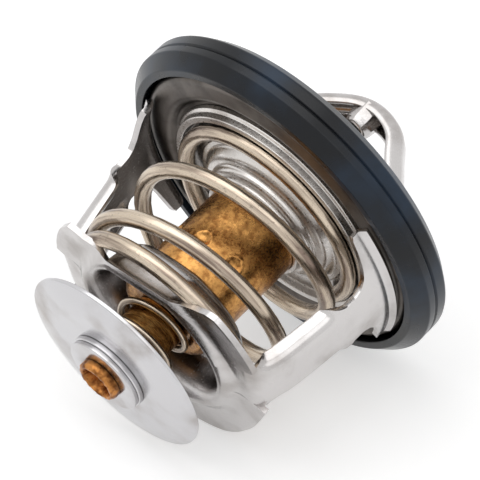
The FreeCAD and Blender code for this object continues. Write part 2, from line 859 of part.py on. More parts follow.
# Upper bridge: a channel that arches over the opening and holds the piston in a pocket.
def make_bridge():
    s = size
    foot = s.flange_sheet + s.bridge_sheet - s.seat_drop
    right = [
        (s.crown_half, s.bridge_height),
        (s.shoulder_reach, s.shoulder_height),
        (s.knee_reach, s.knee_height),
        (s.foot_reach, foot),
        (s.foot_reach + s.foot_length, foot),
    ]
    left = [(-x, z) for x, z in reversed(right)]
    arch = softened(left + right, s.bridge_sheet.value * 1.6)
    body = new_body("upper_bridge")
    under = side_line(arch, -s.bridge_sheet)
    sketch = outline(body, "crown_side", "XZ_Plane", arch + under[::-1])
    extrude(body, "crown", sketch, s.bridge_half_width * 2.0)
    raised = arch[4:-4]
    deep = side_line(raised, -s.bridge_depth)
    sketch = outline(body, "wall_side", "XZ_Plane", raised + deep[::-1])
    extrude(body, "walls", sketch, s.bridge_half_width * 2.0)
    roof = side_line(raised, -s.bridge_sheet)
    clear = side_line(raised, -s.bridge_depth - s.bridge_sheet)
    sketch = outline(body, "channel_side", "XZ_Plane", roof + clear[::-1])
    inner_width = (s.bridge_half_width - s.bridge_sheet) * 2.0
    extrude(body, "channel", sketch, inner_width, kind="Pocket")
    add_pocket(body)


def add_pocket(body):
    """The closed cup under the crown that takes the top of the piston."""
    s = size
    roof = s.bridge_height - s.bridge_sheet
    points = [
        (ZERO, s.pocket_bottom),
        (s.pocket_radius, s.pocket_bottom),
        (s.pocket_radius, roof),
        (ZERO, roof),
    ]
    sketch = outline(body, "pocket_section", "XZ_Plane", points)
    revolve(body, "pocket_cup", sketch)
    inside = s.pocket_radius - s.bridge_sheet
    floor = s.pocket_bottom + s.bridge_sheet
    above = s.bridge_height + s.bridge_sheet
    points = [(ZERO, floor), (inside, floor), (inside, above), (ZERO, above)]
    sketch = outline(body, "pocket_bore_section", "XZ_Plane", points)
    revolve(body, "pocket_bore", sketch, kind="Groove")


def main():
    for make in (
        make_seal,
        make_flange,
        make_valve,
        make_cap,
        make_element,
        make_guide,
        make_ring,
        make_piston,
        make_packing,
        make_boot,
        make_wax,
        make_frame,
        make_main_spring,
        make_stem,
        make_bypass_disc,
        make_washers,
        make_bypass_spring,
        make_bridge,
    ):
        make()
    doc.recompute()
    for item in doc.Objects:
        if "Invalid" in item.State or "Error" in item.State:
            raise RuntimeError(f"{item.Label} failed: {item.State}")
    os.makedirs("parts", exist_ok=True)
    for node in nodes:
        shape = node.Shape
        if shape.isNull() or not shape.isValid() or not shape.Solids:
            raise RuntimeError(f"{node.Label} has no valid solid")
        shape.exportStep(os.path.join("parts", node.Label + ".step"))
        print(f"{node.Label}: {len(shape.Solids)} solid, {shape.Volume:.1f} mm3")


main()
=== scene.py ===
"""Looks of an engine coolant thermostat, built round its CAD frame.

The rubber rim seal, the pressed steel frame, the valve, both coil springs, the wax element and
the bypass disc are modelled here as finished surfaces. The object's lengths are millimetres and
the studio's are metres.
"""

import logging
import math
from collections.abc import Callable, Sequence
from dataclasses import dataclass
from enum import Enum
from typing import ClassVar

import bmesh
import bpy
from mathutils import Matrix, Vector, kdtree, noise

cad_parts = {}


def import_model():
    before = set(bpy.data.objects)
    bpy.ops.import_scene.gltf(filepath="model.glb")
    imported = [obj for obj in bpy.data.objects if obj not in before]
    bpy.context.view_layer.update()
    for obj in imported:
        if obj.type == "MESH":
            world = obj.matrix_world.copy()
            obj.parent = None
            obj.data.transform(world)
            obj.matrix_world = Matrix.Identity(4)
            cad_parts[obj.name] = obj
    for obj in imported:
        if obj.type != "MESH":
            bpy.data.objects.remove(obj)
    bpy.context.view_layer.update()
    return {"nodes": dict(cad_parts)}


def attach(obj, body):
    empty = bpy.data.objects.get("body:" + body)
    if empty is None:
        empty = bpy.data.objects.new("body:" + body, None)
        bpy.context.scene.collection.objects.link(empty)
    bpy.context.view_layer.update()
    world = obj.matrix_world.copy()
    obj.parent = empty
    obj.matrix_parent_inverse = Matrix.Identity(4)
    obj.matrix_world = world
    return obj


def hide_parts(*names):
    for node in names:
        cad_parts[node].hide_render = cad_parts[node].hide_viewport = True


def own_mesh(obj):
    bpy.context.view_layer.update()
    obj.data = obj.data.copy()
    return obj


LOG = logging.getLogger("thermostat")
MM = 0.001
WHITE = (1.0, 1.0, 1.0, 1.0)
# The Mix node's sockets for colours, which share their names with its other sockets.
FACTOR, FIRST, SECOND, MIXED = 0, 6, 7, 2

Pair = tuple[float, float]
Triple = tuple[float, float, float]
# Radius, height and rounding of one corner of a turned section.
Corner = tuple[float, float, float]
# Turns from the start, height and mean radius at one place of a coil.
Station = tuple[float, float, float]


class Body(Enum):
    """The moving groups that a piece can ride."""

    FRAME = "frame"
    VALVE = "valve_group"
    BYPASS = "bypass"


class Look(Enum):
    """The finishes, each with the name of a slot in the record."""

    RUBBER = ("rubber", "seal_rubber")
    STEEL = ("steel", "stamped_steel")
    FLANGE = ("flange", "stamped_steel")
    VALVE = ("valve", "stamped_steel")
    DISC = ("disc", "disc_steel")
    WIRE = ("wire", "spring_wire")
    BRASS = ("brass", "element_brass")
    SHAFT = ("shaft", "stem_copper")
    COPPER = ("copper", "stem_copper")
    PISTON = ("piston", "piston_steel")
    WAX = ("wax", "wax_mix")

    @property
    def slot(self) -> str:
        """The record's slot."""
        return self.value[1]


def linear(code: str) -> tuple[float, float, float, float]:
    """Turn an sRGB hex code into a linear colour.

    Args:
        code: Six hex digits after a hash.

    Returns:
        Red, green, blue and an alpha of one.
    """
    parts = [int(code[start : start + 2], 16) / 255.0 for start in (1, 3, 5)]
    light = [part / 12.92 if part <= 0.04045 else ((part + 0.055) / 1.055) ** 2.4 for part in parts]
    return (light[0], light[1], light[2], 1.0)


def per_metre(size_mm: float) -> float:
    """The texture scale that repeats a pattern once in the given length."""
    return 1.0 / (size_mm * MM)


def add_node(
    tree: bpy.types.NodeTree,
    kind: str,
    inputs: dict[str | int, object] | None = None,
    **settings: object,
) -> bpy.types.Node:
    """Add a node with its settings, its values and the links that reach it.

    Args:
        tree: The node tree.
        kind: The node's type name.
        inputs: A value, or an output socket to link, for each input by name or number.
        **settings: Properties of the node.

    Returns:
        The new node.
    """
    item = tree.nodes.new(kind)
    for key, value in settings.items():
        setattr(item, key, value)
    for key, value in (inputs or {}).items():
        if isinstance(value, bpy.types.NodeSocket):
            tree.links.new(value, item.inputs[key])
        else:
            item.inputs[key].default_value = value
    return item


def empty_material(name: str) -> bpy.types.Material:
    """Start a material whose node tree is empty.

    Args:
        name: The material's name.

    Returns:
        The material.
    """
    material = bpy.data.materials.new(name)
    material.use_nodes = True
    material.node_tree.nodes.clear()
    return material


def backdrop_rays(tree: bpy.types.NodeTree) -> bpy.types.NodeSocket:
    """Pick out the rays that find a white background, seen or mirrored.

    Args:
        tree: The node tree of the floor or of the world.

    Returns:
        A socket that is one for those rays and zero for the light that falls on the object.
    """
    path = add_node(tree, "ShaderNodeLightPath")
    seen = add_node(
        tree,
        "ShaderNodeMath",
        {0: path.outputs["Is Camera Ray"], 1: path.outputs["Is Glossy Ray"]},
        operation="MAXIMUM",
    )
    either = add_node(
        tree,
        "ShaderNodeMath",
        {0: seen.outputs[0], 1: path.outputs["Is Transmission Ray"]},
        operation="MAXIMUM",
    )
    return either.outputs[0]


def blend(
    tree: bpy.types.NodeTree,
    level: bpy.types.NodeSocket,
    band: Pair,
    colour: object,
    code: str,
    shares: Pair = (0.0, 1.0),
    soft: bool = False,
) -> bpy.types.NodeSocket:
    """Blend a second colour into a colour while a level crosses a band.

    Args:
        tree: The node tree.
        level: The level, such as a noise or the light that reaches a hollow.
        band: The levels at which the blend starts and ends.
        colour: The first colour, as a socket or as linear values.
        code: The second colour's hex code.
        shares: How much of the second colour there is at both ends of the band.
        soft: Whether the blend eases in and out.

    Returns:
        The blended colour.
    """
    share = add_node(
        tree,
        "ShaderNodeMapRange",
        {
            "Value": level,
            "From Min": band[0],
            "From Max": band[1],
            "To Min": shares[0],
            "To Max": shares[1],
        },
        interpolation_type="SMOOTHSTEP" if soft else "LINEAR",
    )
    mixed = add_node(
        tree,
        "ShaderNodeMix",
        {FACTOR: share.outputs[0], FIRST: colour, SECOND: linear(code)},
        data_type="RGBA",
    )
    return mixed.outputs[MIXED]


@dataclass(frozen=True)
class Metal:
    """A bare metal surface.

    A broad stain moves its colour between two tones, specks darken it, painted shade darkens it
    where little light reaches its hollows, and fine marks left by its making move its roughness and
    its height. The real marks are finer than a pixel, so mark_mm draws them as coarse as they need
    to be to show.
    """

    name: str
    pale: str
    deep: str
    stain_mm: float
    stain_band: Pair
    roughness: Pair
    mark_mm: float
    mark_height: float
    stretch: Triple = (1.0, 1.0, 1.0)
    speck: str = "#3a3028"
    speck_mm: float = 0.6
    speck_share: float = 0.0
    # Painted shade: the colour that darkens the metal where little light reaches its hollows, the
    # reach of that test, and the most it darkens.
    recess: str = "#241d18"
    recess_mm: float = 4.0
    recess_share: float = 0.6
    along_wire: bool = False

    # Where each effect comes in, as levels of its noise or, for the painted shade, of the light
    # that reaches a hollow.
    SPECK_BAND: ClassVar[Pair] = (0.62, 0.74)
    RECESS_BAND: ClassVar[Pair] = (0.08, 0.58)
    MARK_BAND: ClassVar[Pair] = (0.3, 0.7)
    RELIEF: ClassVar[float] = 0.6

    def build(self) -> bpy.types.Material:
        """Make the material.

        Returns:
            The finished material.
        """
        material = empty_material(self.name)
        tree = material.node_tree
        if self.along_wire:
            place = add_node(tree, "ShaderNodeAttribute", attribute_name="grain").outputs["Vector"]
        else:
            place = add_node(tree, "ShaderNodeTexCoord").outputs["Object"]
        spread = add_node(
            tree, "ShaderNodeVectorMath", {0: place, 1: self.stretch}, operation="MULTIPLY"
        ).outputs[0]
        stain = add_node(
            tree,
            "ShaderNodeTexNoise",
            {"Vector": spread, "Scale": per_metre(self.stain_mm), "Detail": 4.0},
        )
        specks = add_node(
            tree,
            "ShaderNodeTexNoise",
            {"Vector": place, "Scale": per_metre(self.speck_mm), "Detail": 2.0},
        )
        closed = add_node(
            tree, "ShaderNodeAmbientOcclusion", {"Distance": self.recess_mm * MM}, samples=8
        )
        marks = add_node(
            tree,
            "ShaderNodeTexNoise",
            {"Vector": spread, "Scale": per_metre(self.mark_mm), "Detail": 3.0},
        )
        stained = blend(
            tree, stain.outputs[0], self.stain_band, linear(self.pale), self.deep, soft=True
        )
        specked = blend(
            tree, specks.outputs[0], self.SPECK_BAND, stained, self.speck, (0.0, self.speck_share)
        )
        # Painted shade: the colour moves toward the shade colour where ambient occlusion finds
        # little light.
        grimed = blend(
            tree, closed.outputs["AO"], self.RECESS_BAND, specked, self.recess,
            (self.recess_share, 0.0),
        )
        gloss = add_node(
            tree,
            "ShaderNodeMapRange",
            {
                "Value": marks.outputs[0],
                "From Min": self.MARK_BAND[0],
                "From Max": self.MARK_BAND[1],
                "To Min": self.roughness[0],
                "To Max": self.roughness[1],
            },
        )
        relief = add_node(
            tree,
            "ShaderNodeBump",
            {
                "Strength": self.RELIEF,
                "Distance": self.mark_height * MM,
                "Height": marks.outputs[0],
            },
        )
        shader = add_node(
            tree,
            "ShaderNodeBsdfPrincipled",
            {
                "Base Color": grimed,
                "Metallic": 1.0,
                "Roughness": gloss.outputs[0],
                "Normal": relief.outputs[0],
            },
        )
        add_node(tree, "ShaderNodeOutputMaterial", {"Surface": shader.outputs[0]})
        return material


@dataclass(frozen=True)
class Moulded:
    """A moulded or cast surface, not metallic, with a fine grain and a second tone in broad
    patches, which on the rubber is a painted bluish sheen.

    The real grain is finer than a pixel, so grain_mm draws it as coarse as it needs to show.
    """

    name: str
    base: str
    bloom: str
    bloom_mm: float
    grain_mm: float
    grain_height: float
    roughness: Pair
    specular: float = 0.5

    # Levels of the noise between which the second tone, on the rubber a painted sheen, comes in and
    # the gloss goes.
    BLOOM_BAND: ClassVar[Pair] = (0.38, 0.72)
    GLOSS_BAND: ClassVar[Pair] = (0.35, 0.7)
    RELIEF: ClassVar[float] = 0.5

    def build(self) -> bpy.types.Material:
        """Make the material.

        Returns:
            The finished material.
        """
        material = empty_material(self.name)
        tree = material.node_tree
        place = add_node(tree, "ShaderNodeTexCoord").outputs["Object"]
        cloud = add_node(
            tree,
            "ShaderNodeTexNoise",
            {"Vector": place, "Scale": per_metre(self.bloom_mm), "Detail": 5.0},
        ).outputs[0]
        # Second tone by noise: tone variation on the wax, painted bluish sheen on the rubber.
        bloomed = blend(
            tree, cloud, self.BLOOM_BAND, linear(self.base), self.bloom, soft=True
        )
        grain = add_node(
            tree,
            "ShaderNodeTexNoise",
            {"Vector": place, "Scale": per_metre(self.grain_mm), "Detail": 3.0},
        )
        gloss = add_node(
            tree,
            "ShaderNodeMapRange",
            {
                "Value": cloud,
                "From Min": self.GLOSS_BAND[0],
                "From Max": self.GLOSS_BAND[1],
                "To Min": self.roughness[0],
                "To Max": self.roughness[1],
            },
        )
        relief = add_node(
            tree,
            "ShaderNodeBump",
            {
                "Strength": self.RELIEF,
                "Distance": self.grain_height * MM,
                "Height": grain.outputs[0],
            },
        )
        shader = add_node(
            tree,
            "ShaderNodeBsdfPrincipled",
            {
                "Base Color": bloomed,
                "Roughness": gloss.outputs[0],
                "Specular IOR Level": self.specular,
                "Normal": relief.outputs[0],
            },
        )
        add_node(tree, "ShaderNodeOutputMaterial", {"Surface": shader.outputs[0]})
        return material


# Nitrile rubber, press moulded: blue-black with a satin gloss, a faint grain and broad patches of
# painted bluish sheen.
RIM_RUBBER = Moulded(
    name="nitrile_rubber_moulded", base="#0b0e13", bloom="#243446", bloom_mm=15.0,
    grain_mm=0.2, grain_height=0.02, roughness=(0.22, 0.4), specular=0.3,
)
# Wax loaded with copper powder, cast in the cup: dull and brown.
COPPER_WAX = Moulded(
    name="copper_filled_wax_cast", base="#7a5130", bloom="#94683f", bloom_mm=2.0,
    grain_mm=0.1, grain_height=0.02, roughness=(0.6, 0.75),
)
# Stainless strip, stamped and tumbled: bright, with soft drawing marks and light stains, and broad
# painted shade in its hollows such as round the bowl's rim.
STAMPED_STRIP = Metal(
    name="stainless_strip_stamped", pale="#c9c6c5", deep="#9b9591",
    stain_mm=8.0, stain_band=(0.42, 0.78),
    roughness=(0.16, 0.28), mark_mm=0.25, mark_height=0.004,
    recess="#3a3430", recess_mm=9.0, recess_share=0.45,
)
# The same strip where it lies behind the valve: dull grey-brown and rough, its tone darkened as
# painted shade, with heavy painted shade in its hollows.
PICKLED_STRIP = Metal(
    name="stainless_strip_dull_and_shaded", pale="#6c6661", deep="#423d39",
    stain_mm=5.0, stain_band=(0.4, 0.75),
    roughness=(0.3, 0.44), mark_mm=0.18, mark_height=0.012,
    recess="#14110f", recess_mm=7.0, recess_share=0.85,
)
# The valve and its cap, drawn deep and polished by the tool: bright satin, calmer than the strip.
DRAWN_STEEL = Metal(
    name="steel_drawn_satin", pale="#dbd7d3", deep="#aaa29c",
    stain_mm=6.0, stain_band=(0.42, 0.78),
    roughness=(0.24, 0.36), mark_mm=0.4, mark_height=0.002,
    recess_mm=3.4, recess_share=0.6,
)
# Cold rolled steel plate, blanked and plated: a cool, even satin with a few cloudy stains, and
# strong painted shade in its hollows and where the washers stack.
ROLLED_PLATE = Metal(
    name="cold_rolled_steel_plated", pale="#c8c7c9", deep="#968e88",
    stain_mm=9.0, stain_band=(0.44, 0.8),
    roughness=(0.16, 0.27), mark_mm=0.2, mark_height=0.003,
    recess_mm=3.0, recess_share=0.9,
)
# Spring wire, cold drawn and straw tinted by stress relief: streaks run along the wire.
DRAWN_WIRE = Metal(
    name="spring_wire_drawn", pale="#d0c1ae", deep="#85756a",
    stain_mm=0.7, stain_band=(0.42, 0.68),
    roughness=(0.2, 0.36), mark_mm=0.22, mark_height=0.012, stretch=(1.0, 1.0, 0.06),
    speck="#3c3128", speck_mm=0.5, speck_share=0.4,
    recess_share=0.7, along_wire=True,
)
# Brass, deep drawn and annealed: orange-brown, mottled, its tarnish in blotches.
DRAWN_BRASS = Metal(
    name="brass_deep_drawn", pale="#c69254", deep="#926335",
    stain_mm=1.0, stain_band=(0.38, 0.7),
    roughness=(0.2, 0.38), mark_mm=0.35, mark_height=0.02,
    speck="#4a2810", speck_mm=0.45, speck_share=0.35,
    recess_mm=5.0, recess_share=0.8,
)
# The stem's shaft, the same brass turned and left bare: gold-brown with fine rings.
TURNED_BRASS = Metal(
    name="brass_turned", pale="#d8a763", deep="#a0703c",
    stain_mm=1.2, stain_band=(0.4, 0.7),
    roughness=(0.2, 0.34), mark_mm=0.3, mark_height=0.008, stretch=(0.4, 0.4, 3.0),
    recess_mm=2.0, recess_share=0.5,
)
# Copper rich brass, spun over cold: rough and orange, with dark specks and painted shade in the
# hollows the tool tore.
SPUN_BRASS = Metal(
    name="brass_spun_end", pale="#be8248", deep="#6e4222",
    stain_mm=1.3, stain_band=(0.38, 0.66),
    roughness=(0.26, 0.48), mark_mm=0.35, mark_height=0.05,
    speck="#4a2a16", speck_mm=0.5, speck_share=0.35,
    recess_mm=2.2, recess_share=0.7,
)
# Stainless rod, centreless ground: nearly a mirror.
GROUND_ROD = Metal(
    name="stainless_rod_ground", pale="#dcdbda", deep="#bdbab7",
    stain_mm=3.0, stain_band=(0.5, 0.8),
    roughness=(0.1, 0.18), mark_mm=0.12, mark_height=0.002,
)

FINISHES: dict[Look, Metal | Moulded] = {
    Look.RUBBER: RIM_RUBBER,
    Look.STEEL: STAMPED_STRIP,
    Look.FLANGE: PICKLED_STRIP,
    Look.VALVE: DRAWN_STEEL,
    Look.DISC: ROLLED_PLATE,
    Look.WIRE: DRAWN_WIRE,
    Look.BRASS: DRAWN_BRASS,
    Look.SHAFT: TURNED_BRASS,
    Look.COPPER: SPUN_BRASS,
    Look.PISTON: GROUND_ROD,
    Look.WAX: COPPER_WAX,
}


class Palette:
    """The finished materials, each made once."""

    def __init__(self) -> None:
        """Make every material."""
        self._made = {look: finish.build() for look, finish in FINISHES.items()}

    def paint(self, piece: bpy.types.Object, look: Look) -> None:
        """Give a piece one finish.

        Args:
            piece: The object.
            look: The finish.
        """
        piece.data.materials.clear()
        piece.data.materials.append(self._made[look])


@dataclass
class Shop:
    """What every sub-assembly needs in order to hand over a piece."""

    palette: Palette

    # The least angle, in degrees, at which an edge counts as a corner and is broken.
    CORNER: ClassVar[float] = 42.0

    def add(
        self,
        name: str,
        mesh: bpy.types.Mesh,
        body: Body,
        look: Look,
        nodes: Sequence[str] = (),
    ) -> bpy.types.Object:
        """Place a mesh in the scene on its body, with its finish.

        Args:
            name: The piece's name.
            mesh: Its mesh, in metres.
            body: The group that it rides.
            look: Its finish.
            nodes: The CAD nodes that it stands for.

        Returns:
            The new object.
        """
        mesh.shade_smooth()
        piece = bpy.data.objects.new(name, mesh)
        bpy.context.scene.collection.objects.link(piece)
        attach(piece, body.value)
        if nodes:
            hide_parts(*nodes)
        self.palette.paint(piece, look)
        return piece

    def add_crisp(
        self,
        name: str,
        bm: bmesh.types.BMesh,
        body: Body,
        look: Look,
        nodes: Sequence[str] = (),
        edge: float = 0.1,
        sheet: float = 0.0,
    ) -> bpy.types.Object:
        """Place a bmesh in the scene, with broken edges and the thickness of its sheet.

        Args:
            name: The piece's name.
            bm: Its shape in millimetres, freed here.
            body: The group that it rides.
            look: Its finish.
            nodes: The CAD nodes that it stands for.
            edge: Width of the broken edges.
            sheet: Sheet thickness about the mesh, or zero for a solid.

        Returns:
            The new object.
        """
        piece = self.add(name, to_mesh(bm, name), body, look, nodes)
        if sheet:
            thicken = piece.modifiers.new("sheet", "SOLIDIFY")
            thicken.thickness = sheet * MM
            thicken.offset = 0.0
            thicken.use_even_offset = True
        broken = piece.modifiers.new("broken_edges", "BEVEL")
        broken.width = edge * MM
        broken.segments = 2
        broken.limit_method = "ANGLE"
        # Wind both springs, each with a mesh of its own.
        broken.angle_limit = math.radians(self.CORNER)
        broken.use_clamp_overlap = True
        even = piece.modifiers.new("even_shading", "WEIGHTED_NORMAL")
        even.keep_sharp = True
        return piece


def to_mesh(bm: bmesh.types.BMesh, name: str) -> bpy.types.Mesh:
    """Turn a bmesh in millimetres into a mesh in metres.

    Args:
        bm: The bmesh, freed here.
        name: The mesh's name.

    Returns:
        The mesh.
    """
    bmesh.ops.recalc_face_normals(bm, faces=bm.faces[:])
    bmesh.ops.scale(bm, vec=(MM, MM, MM), verts=bm.verts[:])
    mesh = bpy.data.meshes.new(name)
    bm.to_mesh(mesh)
    bm.free()
    return mesh


def lathe(section: Sequence[Corner], closed: bool = True, steps: int = 192) -> bmesh.types.BMesh:
    """Turn a section about the axis and round the corners that ask for it.

    Args:
        section: The corners in order.
        closed: Whether the last corner joins the first.
        steps: Faces round the axis.

    Returns:
        The turned bmesh in millimetres.
    """
    bm = bmesh.new()
    verts = [bm.verts.new((radius, 0.0, height)) for radius, height, _ in section]
    pairs = list(zip(verts, verts[1:]))
    if closed:
        pairs.append((verts[-1], verts[0]))
    edges = [bm.edges.new(pair) for pair in pairs]
    bmesh.ops.spin(
        bm,
        geom=verts + edges,
        cent=(0.0, 0.0, 0.0),
        axis=(0.0, 0.0, 1.0),
        dvec=(0.0, 0.0, 0.0),
        angle=math.tau,
        steps=steps,
        use_merge=True,
        use_duplicate=False,
    )
    bmesh.ops.remove_doubles(bm, verts=bm.verts[:], dist=1e-5)
    for radius, height, rounding in section:
        if rounding > 0.0:
            bmesh.ops.bevel(
                bm,
                geom=[edge for edge in bm.edges if is_ring(edge, radius, height)],
                offset=rounding,
                offset_type="OFFSET",
                segments=5,
                profile=0.5,
                affect="EDGES",
                material=-1,
                clamp_overlap=True,
            )
    return bm


def is_ring(edge: bmesh.types.BMEdge, radius: float, height: float) -> bool:
    """Whether an edge lies on the ring at one radius and height.

    Args:
        edge: The edge.
        radius: The ring's radius.
        height: The ring's height.

    Returns:
        True where both ends lie on the ring.
    """
    return all(
        abs(math.hypot(vert.co.x, vert.co.y) - radius) < 1e-3 and abs(vert.co.z - height) < 1e-3
        for vert in edge.verts
    )


def shift(bm: bmesh.types.BMesh, offset: Triple) -> None:
    """Move a whole bmesh."""
    bmesh.ops.translate(bm, verts=bm.verts[:], vec=offset)


def eased(share: float) -> float:
    """Ease a share between zero and one."""
    share = min(max(share, 0.0), 1.0)
    return share * share * (3.0 - 2.0 * share)


def between(table: Sequence[Pair], at: float) -> float:
    """Read a table of places and values, straight between its rows.

    Args:
        table: Places in rising order, each with its value.
        at: The place to read.

    Returns:
        The value there.
    """
    if at <= table[0][0]:
        return table[0][1]
    for (low, first), (high, second) in zip(table, table[1:]):
        if at <= high:
            return first + (second - first) * (at - low) / (high - low)
    return table[-1][1]


def smooth_line(points: Sequence[Pair], count: int, steps: int = 24) -> list[Pair]:
    """Run a smooth curve through points in a plane, evenly spread along it.

    Args:
        points: The points to pass through.
        count: The number of points on the curve.
        steps: Steps between two of the points while the curve is measured.

    Returns:
        The points of the curve.
    """
    padded = [points[0], *points, points[-1]]
    dense: list[Vector] = []
    for index in range(1, len(padded) - 2):
        before, start, end, after = (Vector(padded[index + k]) for k in (-1, 0, 1, 2))
        for step in range(steps):
            u = step / steps
            bend = (
                2.0 * start
                + (end - before) * u
                + (2.0 * before - 5.0 * start + 4.0 * end - after) * u * u
                + (3.0 * start - before - 3.0 * end + after) * u**3
            )
            dense.append(bend * 0.5)
    dense.append(Vector(points[-1]))
    reach = [0.0]
    for start, end in zip(dense, dense[1:]):
        reach.append(reach[-1] + (end - start).length)
    spots = []
    place = 0
    for index in range(count):
        goal = reach[-1] * index / (count - 1)
        while place < len(reach) - 2 and reach[place + 1] < goal:
            place += 1
        span = reach[place + 1] - reach[place]
        share = (goal - reach[place]) / span if span > 0.0 else 0.0
        spot = dense[place].lerp(dense[place + 1], min(max(share, 0.0), 1.0))
        spots.append((spot.x, spot.y))
    return spots


def heading(line: Sequence[Pair], row: int) -> Vector:
    """Direction of a line in a plane at one of its points.

    Args:
        line: The points.
        row: The point's number.

    Returns:
        The unit vector from the point before to the point after.
    """
    before = line[max(row - 1, 0)]
    after = line[min(row + 1, len(line) - 1)]
    return Vector((after[0] - before[0], after[1] - before[1])).normalized()


def curl(reach: float, flat: float, bend: float, amount: float) -> Pair:
    """Follow a strap's section from its middle out over a rolled edge.

    Args:
        reach: Distance along the section from the middle of the web.
        flat: Half width of the flat web.
        bend: Length of the section that bends.
        amount: Share of a right angle that it bends by.

    Returns:
        How far out and how far in that point of the section lies.
    """
    turn = amount * math.pi / 2.0
    if reach <= flat or turn < 1e-4:
        return reach, 0.0
    run = min(reach - flat, bend)
    radius = bend / turn
    angle = run / radius
    out = flat + radius * math.sin(angle)
    deep = radius * (1.0 - math.cos(angle))
    rest = max(reach - flat - bend, 0.0)
    return out + rest * math.cos(turn), deep + rest * math.sin(turn)


def mapped_grid(
    across: int, along: int, place: Callable[[int, int], Vector]
) -> bmesh.types.BMesh:
    """Lay a grid over a surface.

    Args:
        across: Columns of vertices.
        along: Rows of vertices.
        place: Gives the position of the vertex in a column and a row.

    Returns:
        The bmesh in millimetres.
    """
    bm = bmesh.new()
    bmesh.ops.create_grid(bm, x_segments=across - 1, y_segments=along - 1, size=0.5)
    for vert in bm.verts:
        column = round((vert.co.x + 0.5) * (across - 1))
        row = round((vert.co.y + 0.5) * (along - 1))
        vert.co = place(column, row)
    return bm


@dataclass(frozen=True)
class Coil:
    """A coil spring wound right-handed through its stations."""

    name: str
    wire: float
    start: float
    stations: tuple[Station, ...]
    points_per_turn: int = 40

    # Turns before and after a place over which the pitch is averaged, so that it changes gently.
    BLEND: ClassVar[tuple[float, ...]] = (-0.12, -0.08, -0.04, 0.0, 0.04, 0.08, 0.12)

    def at(self, turn: float) -> Vector:
        """The middle of the wire after a number of turns.

        Args:
            turn: Turns from the start.

        Returns:
            The position in millimetres.
        """
        height = self.soft([(t, z) for t, z, _ in self.stations], turn)
        radius = self.soft([(t, r) for t, _, r in self.stations], turn)
        angle = math.radians(self.start) + math.tau * turn
        return Vector((radius * math.cos(angle), radius * math.sin(angle), height))

    def soft(self, table: Sequence[Pair], turn: float) -> float:
        """Average a table over a short stretch about one place."""
        return sum(between(table, turn + step) for step in self.BLEND) / len(self.BLEND)

    def mesh(self) -> bpy.types.Mesh:
        """Sweep the wire along the coil.

        Returns:
            The mesh in metres, with the place along the wire stored for its streaks.
        """
        last = self.stations[-1][0]
        count = round(last * self.points_per_turn) + 1
        line = [self.at(last * index / (count - 1)) * MM for index in range(count)]
        curve = bpy.data.curves.new(self.name + "_line", "CURVE")
        curve.dimensions = "3D"
        curve.twist_mode = "Z_UP"
        curve.bevel_depth = self.wire * 0.5 * MM
        curve.bevel_resolution = 7
        curve.use_fill_caps = True
        spline = curve.splines.new("POLY")
        spline.points.add(count - 1)
        for point, spot in zip(spline.points, line):
            point.co = (spot.x, spot.y, spot.z, 1.0)
        carrier = bpy.data.objects.new(self.name + "_line", curve)
        bpy.context.scene.collection.objects.link(carrier)
        bpy.context.view_layer.update()
        swept = carrier.evaluated_get(bpy.context.evaluated_depsgraph_get())
        mesh = bpy.data.meshes.new_from_object(swept)
        bpy.data.objects.remove(carrier)
        bpy.data.curves.remove(curve)
        self.mark_grain(mesh, line)
        return mesh

    @staticmethod
    def mark_grain(mesh: bpy.types.Mesh, line: Sequence[Vector]) -> None:
        """Store for each vertex its place in the section and its length along the wire.

        Args:
            mesh: The swept wire.
            line: The middle of the wire, in metres.
        """
        tree = kdtree.KDTree(len(line))
        for index, spot in enumerate(line):
            tree.insert(spot, index)
        tree.balance()
        grain = mesh.attributes.new("grain", "FLOAT_VECTOR", "POINT")
        step = (line[1] - line[0]).length
        for vert in mesh.vertices:
            spot, index, _ = tree.find(vert.co)
            offset = vert.co - spot
            outward = Vector((spot.x, spot.y, 0.0)).normalized()
            grain.data[vert.index].vector = (offset.dot(outward), offset.z, index * step)


@dataclass
class RimSeal:
    """The rubber ring that grips the brim of the flange, a little off the axis."""

    shop: Shop
    offset: Triple = (0.1, -0.1, 0.5)
    radius: float = 28.0
    parting_radius: float = 27.6
    parting_half: float = 0.26
    top: float = 3.5
    top_radius: float = 26.3
    top_bevel: float = 2.0
    top_bore: float = 25.25
    bottom: float = -3.4
    bottom_radius: float = 26.1
    bottom_bevel: float = -1.45
    bottom_bore: float = 24.85
    slot_radius: float = 27.05
    slot: Pair = (-0.93, -0.07)

    def build(self) -> list[bpy.types.Object]:
        """Turn the ring with its bevels, its parting groove and the slot for the brim.

        Returns:
            The ring.
        """
        floor, roof = self.slot
        section = [
            (self.parting_radius, 0.0, 0.0),
            (self.radius, self.parting_half, 0.08),
            (self.radius, self.top_bevel, 0.25),
            (self.top_radius, self.top, 0.3),
            (self.top_bore, self.top, 0.3),
            (self.top_bore, roof, 0.0),
            (self.slot_radius, roof, 0.0),
            (self.slot_radius, floor, 0.0),
            (self.bottom_bore, floor, 0.0),
            (self.bottom_bore, self.bottom, 0.14),
            (self.bottom_radius, self.bottom, 0.16),
            (self.radius, self.bottom_bevel, 0.16),
            (self.radius, -self.parting_half, 0.08),
        ]
        bm = lathe(section, steps=256)
        shift(bm, self.offset)
        return [
            self.shop.add_crisp(
                "rim_seal", bm, Body.FRAME, Look.RUBBER, ["seal_ring"], edge=0.06
            )
        ]


@dataclass
class Flange:
    """The pressed flange between the seal and the valve."""

    shop: Shop
    sheet: float = 0.8
    # The middle of the sheet: raised seat, step, floor, step and brim.
    section: tuple[Corner, ...] = (
        (16.1, -0.7, 0.0),
        (19.4, -0.7, 0.5),
        (20.5, -2.0, 0.5),
        (24.0, -2.0, 0.6),
        (24.35, 0.0, 0.6),
        (26.55, 0.0, 0.0),
    )

    def build(self) -> list[bpy.types.Object]:
        """Turn the sheet."""
        bm = lathe(self.section, closed=False, steps=224)
        return [
            self.shop.add_crisp(
                "flange_pressing", bm, Body.FRAME, Look.FLANGE, ["flange"], sheet=self.sheet
            )
        ]


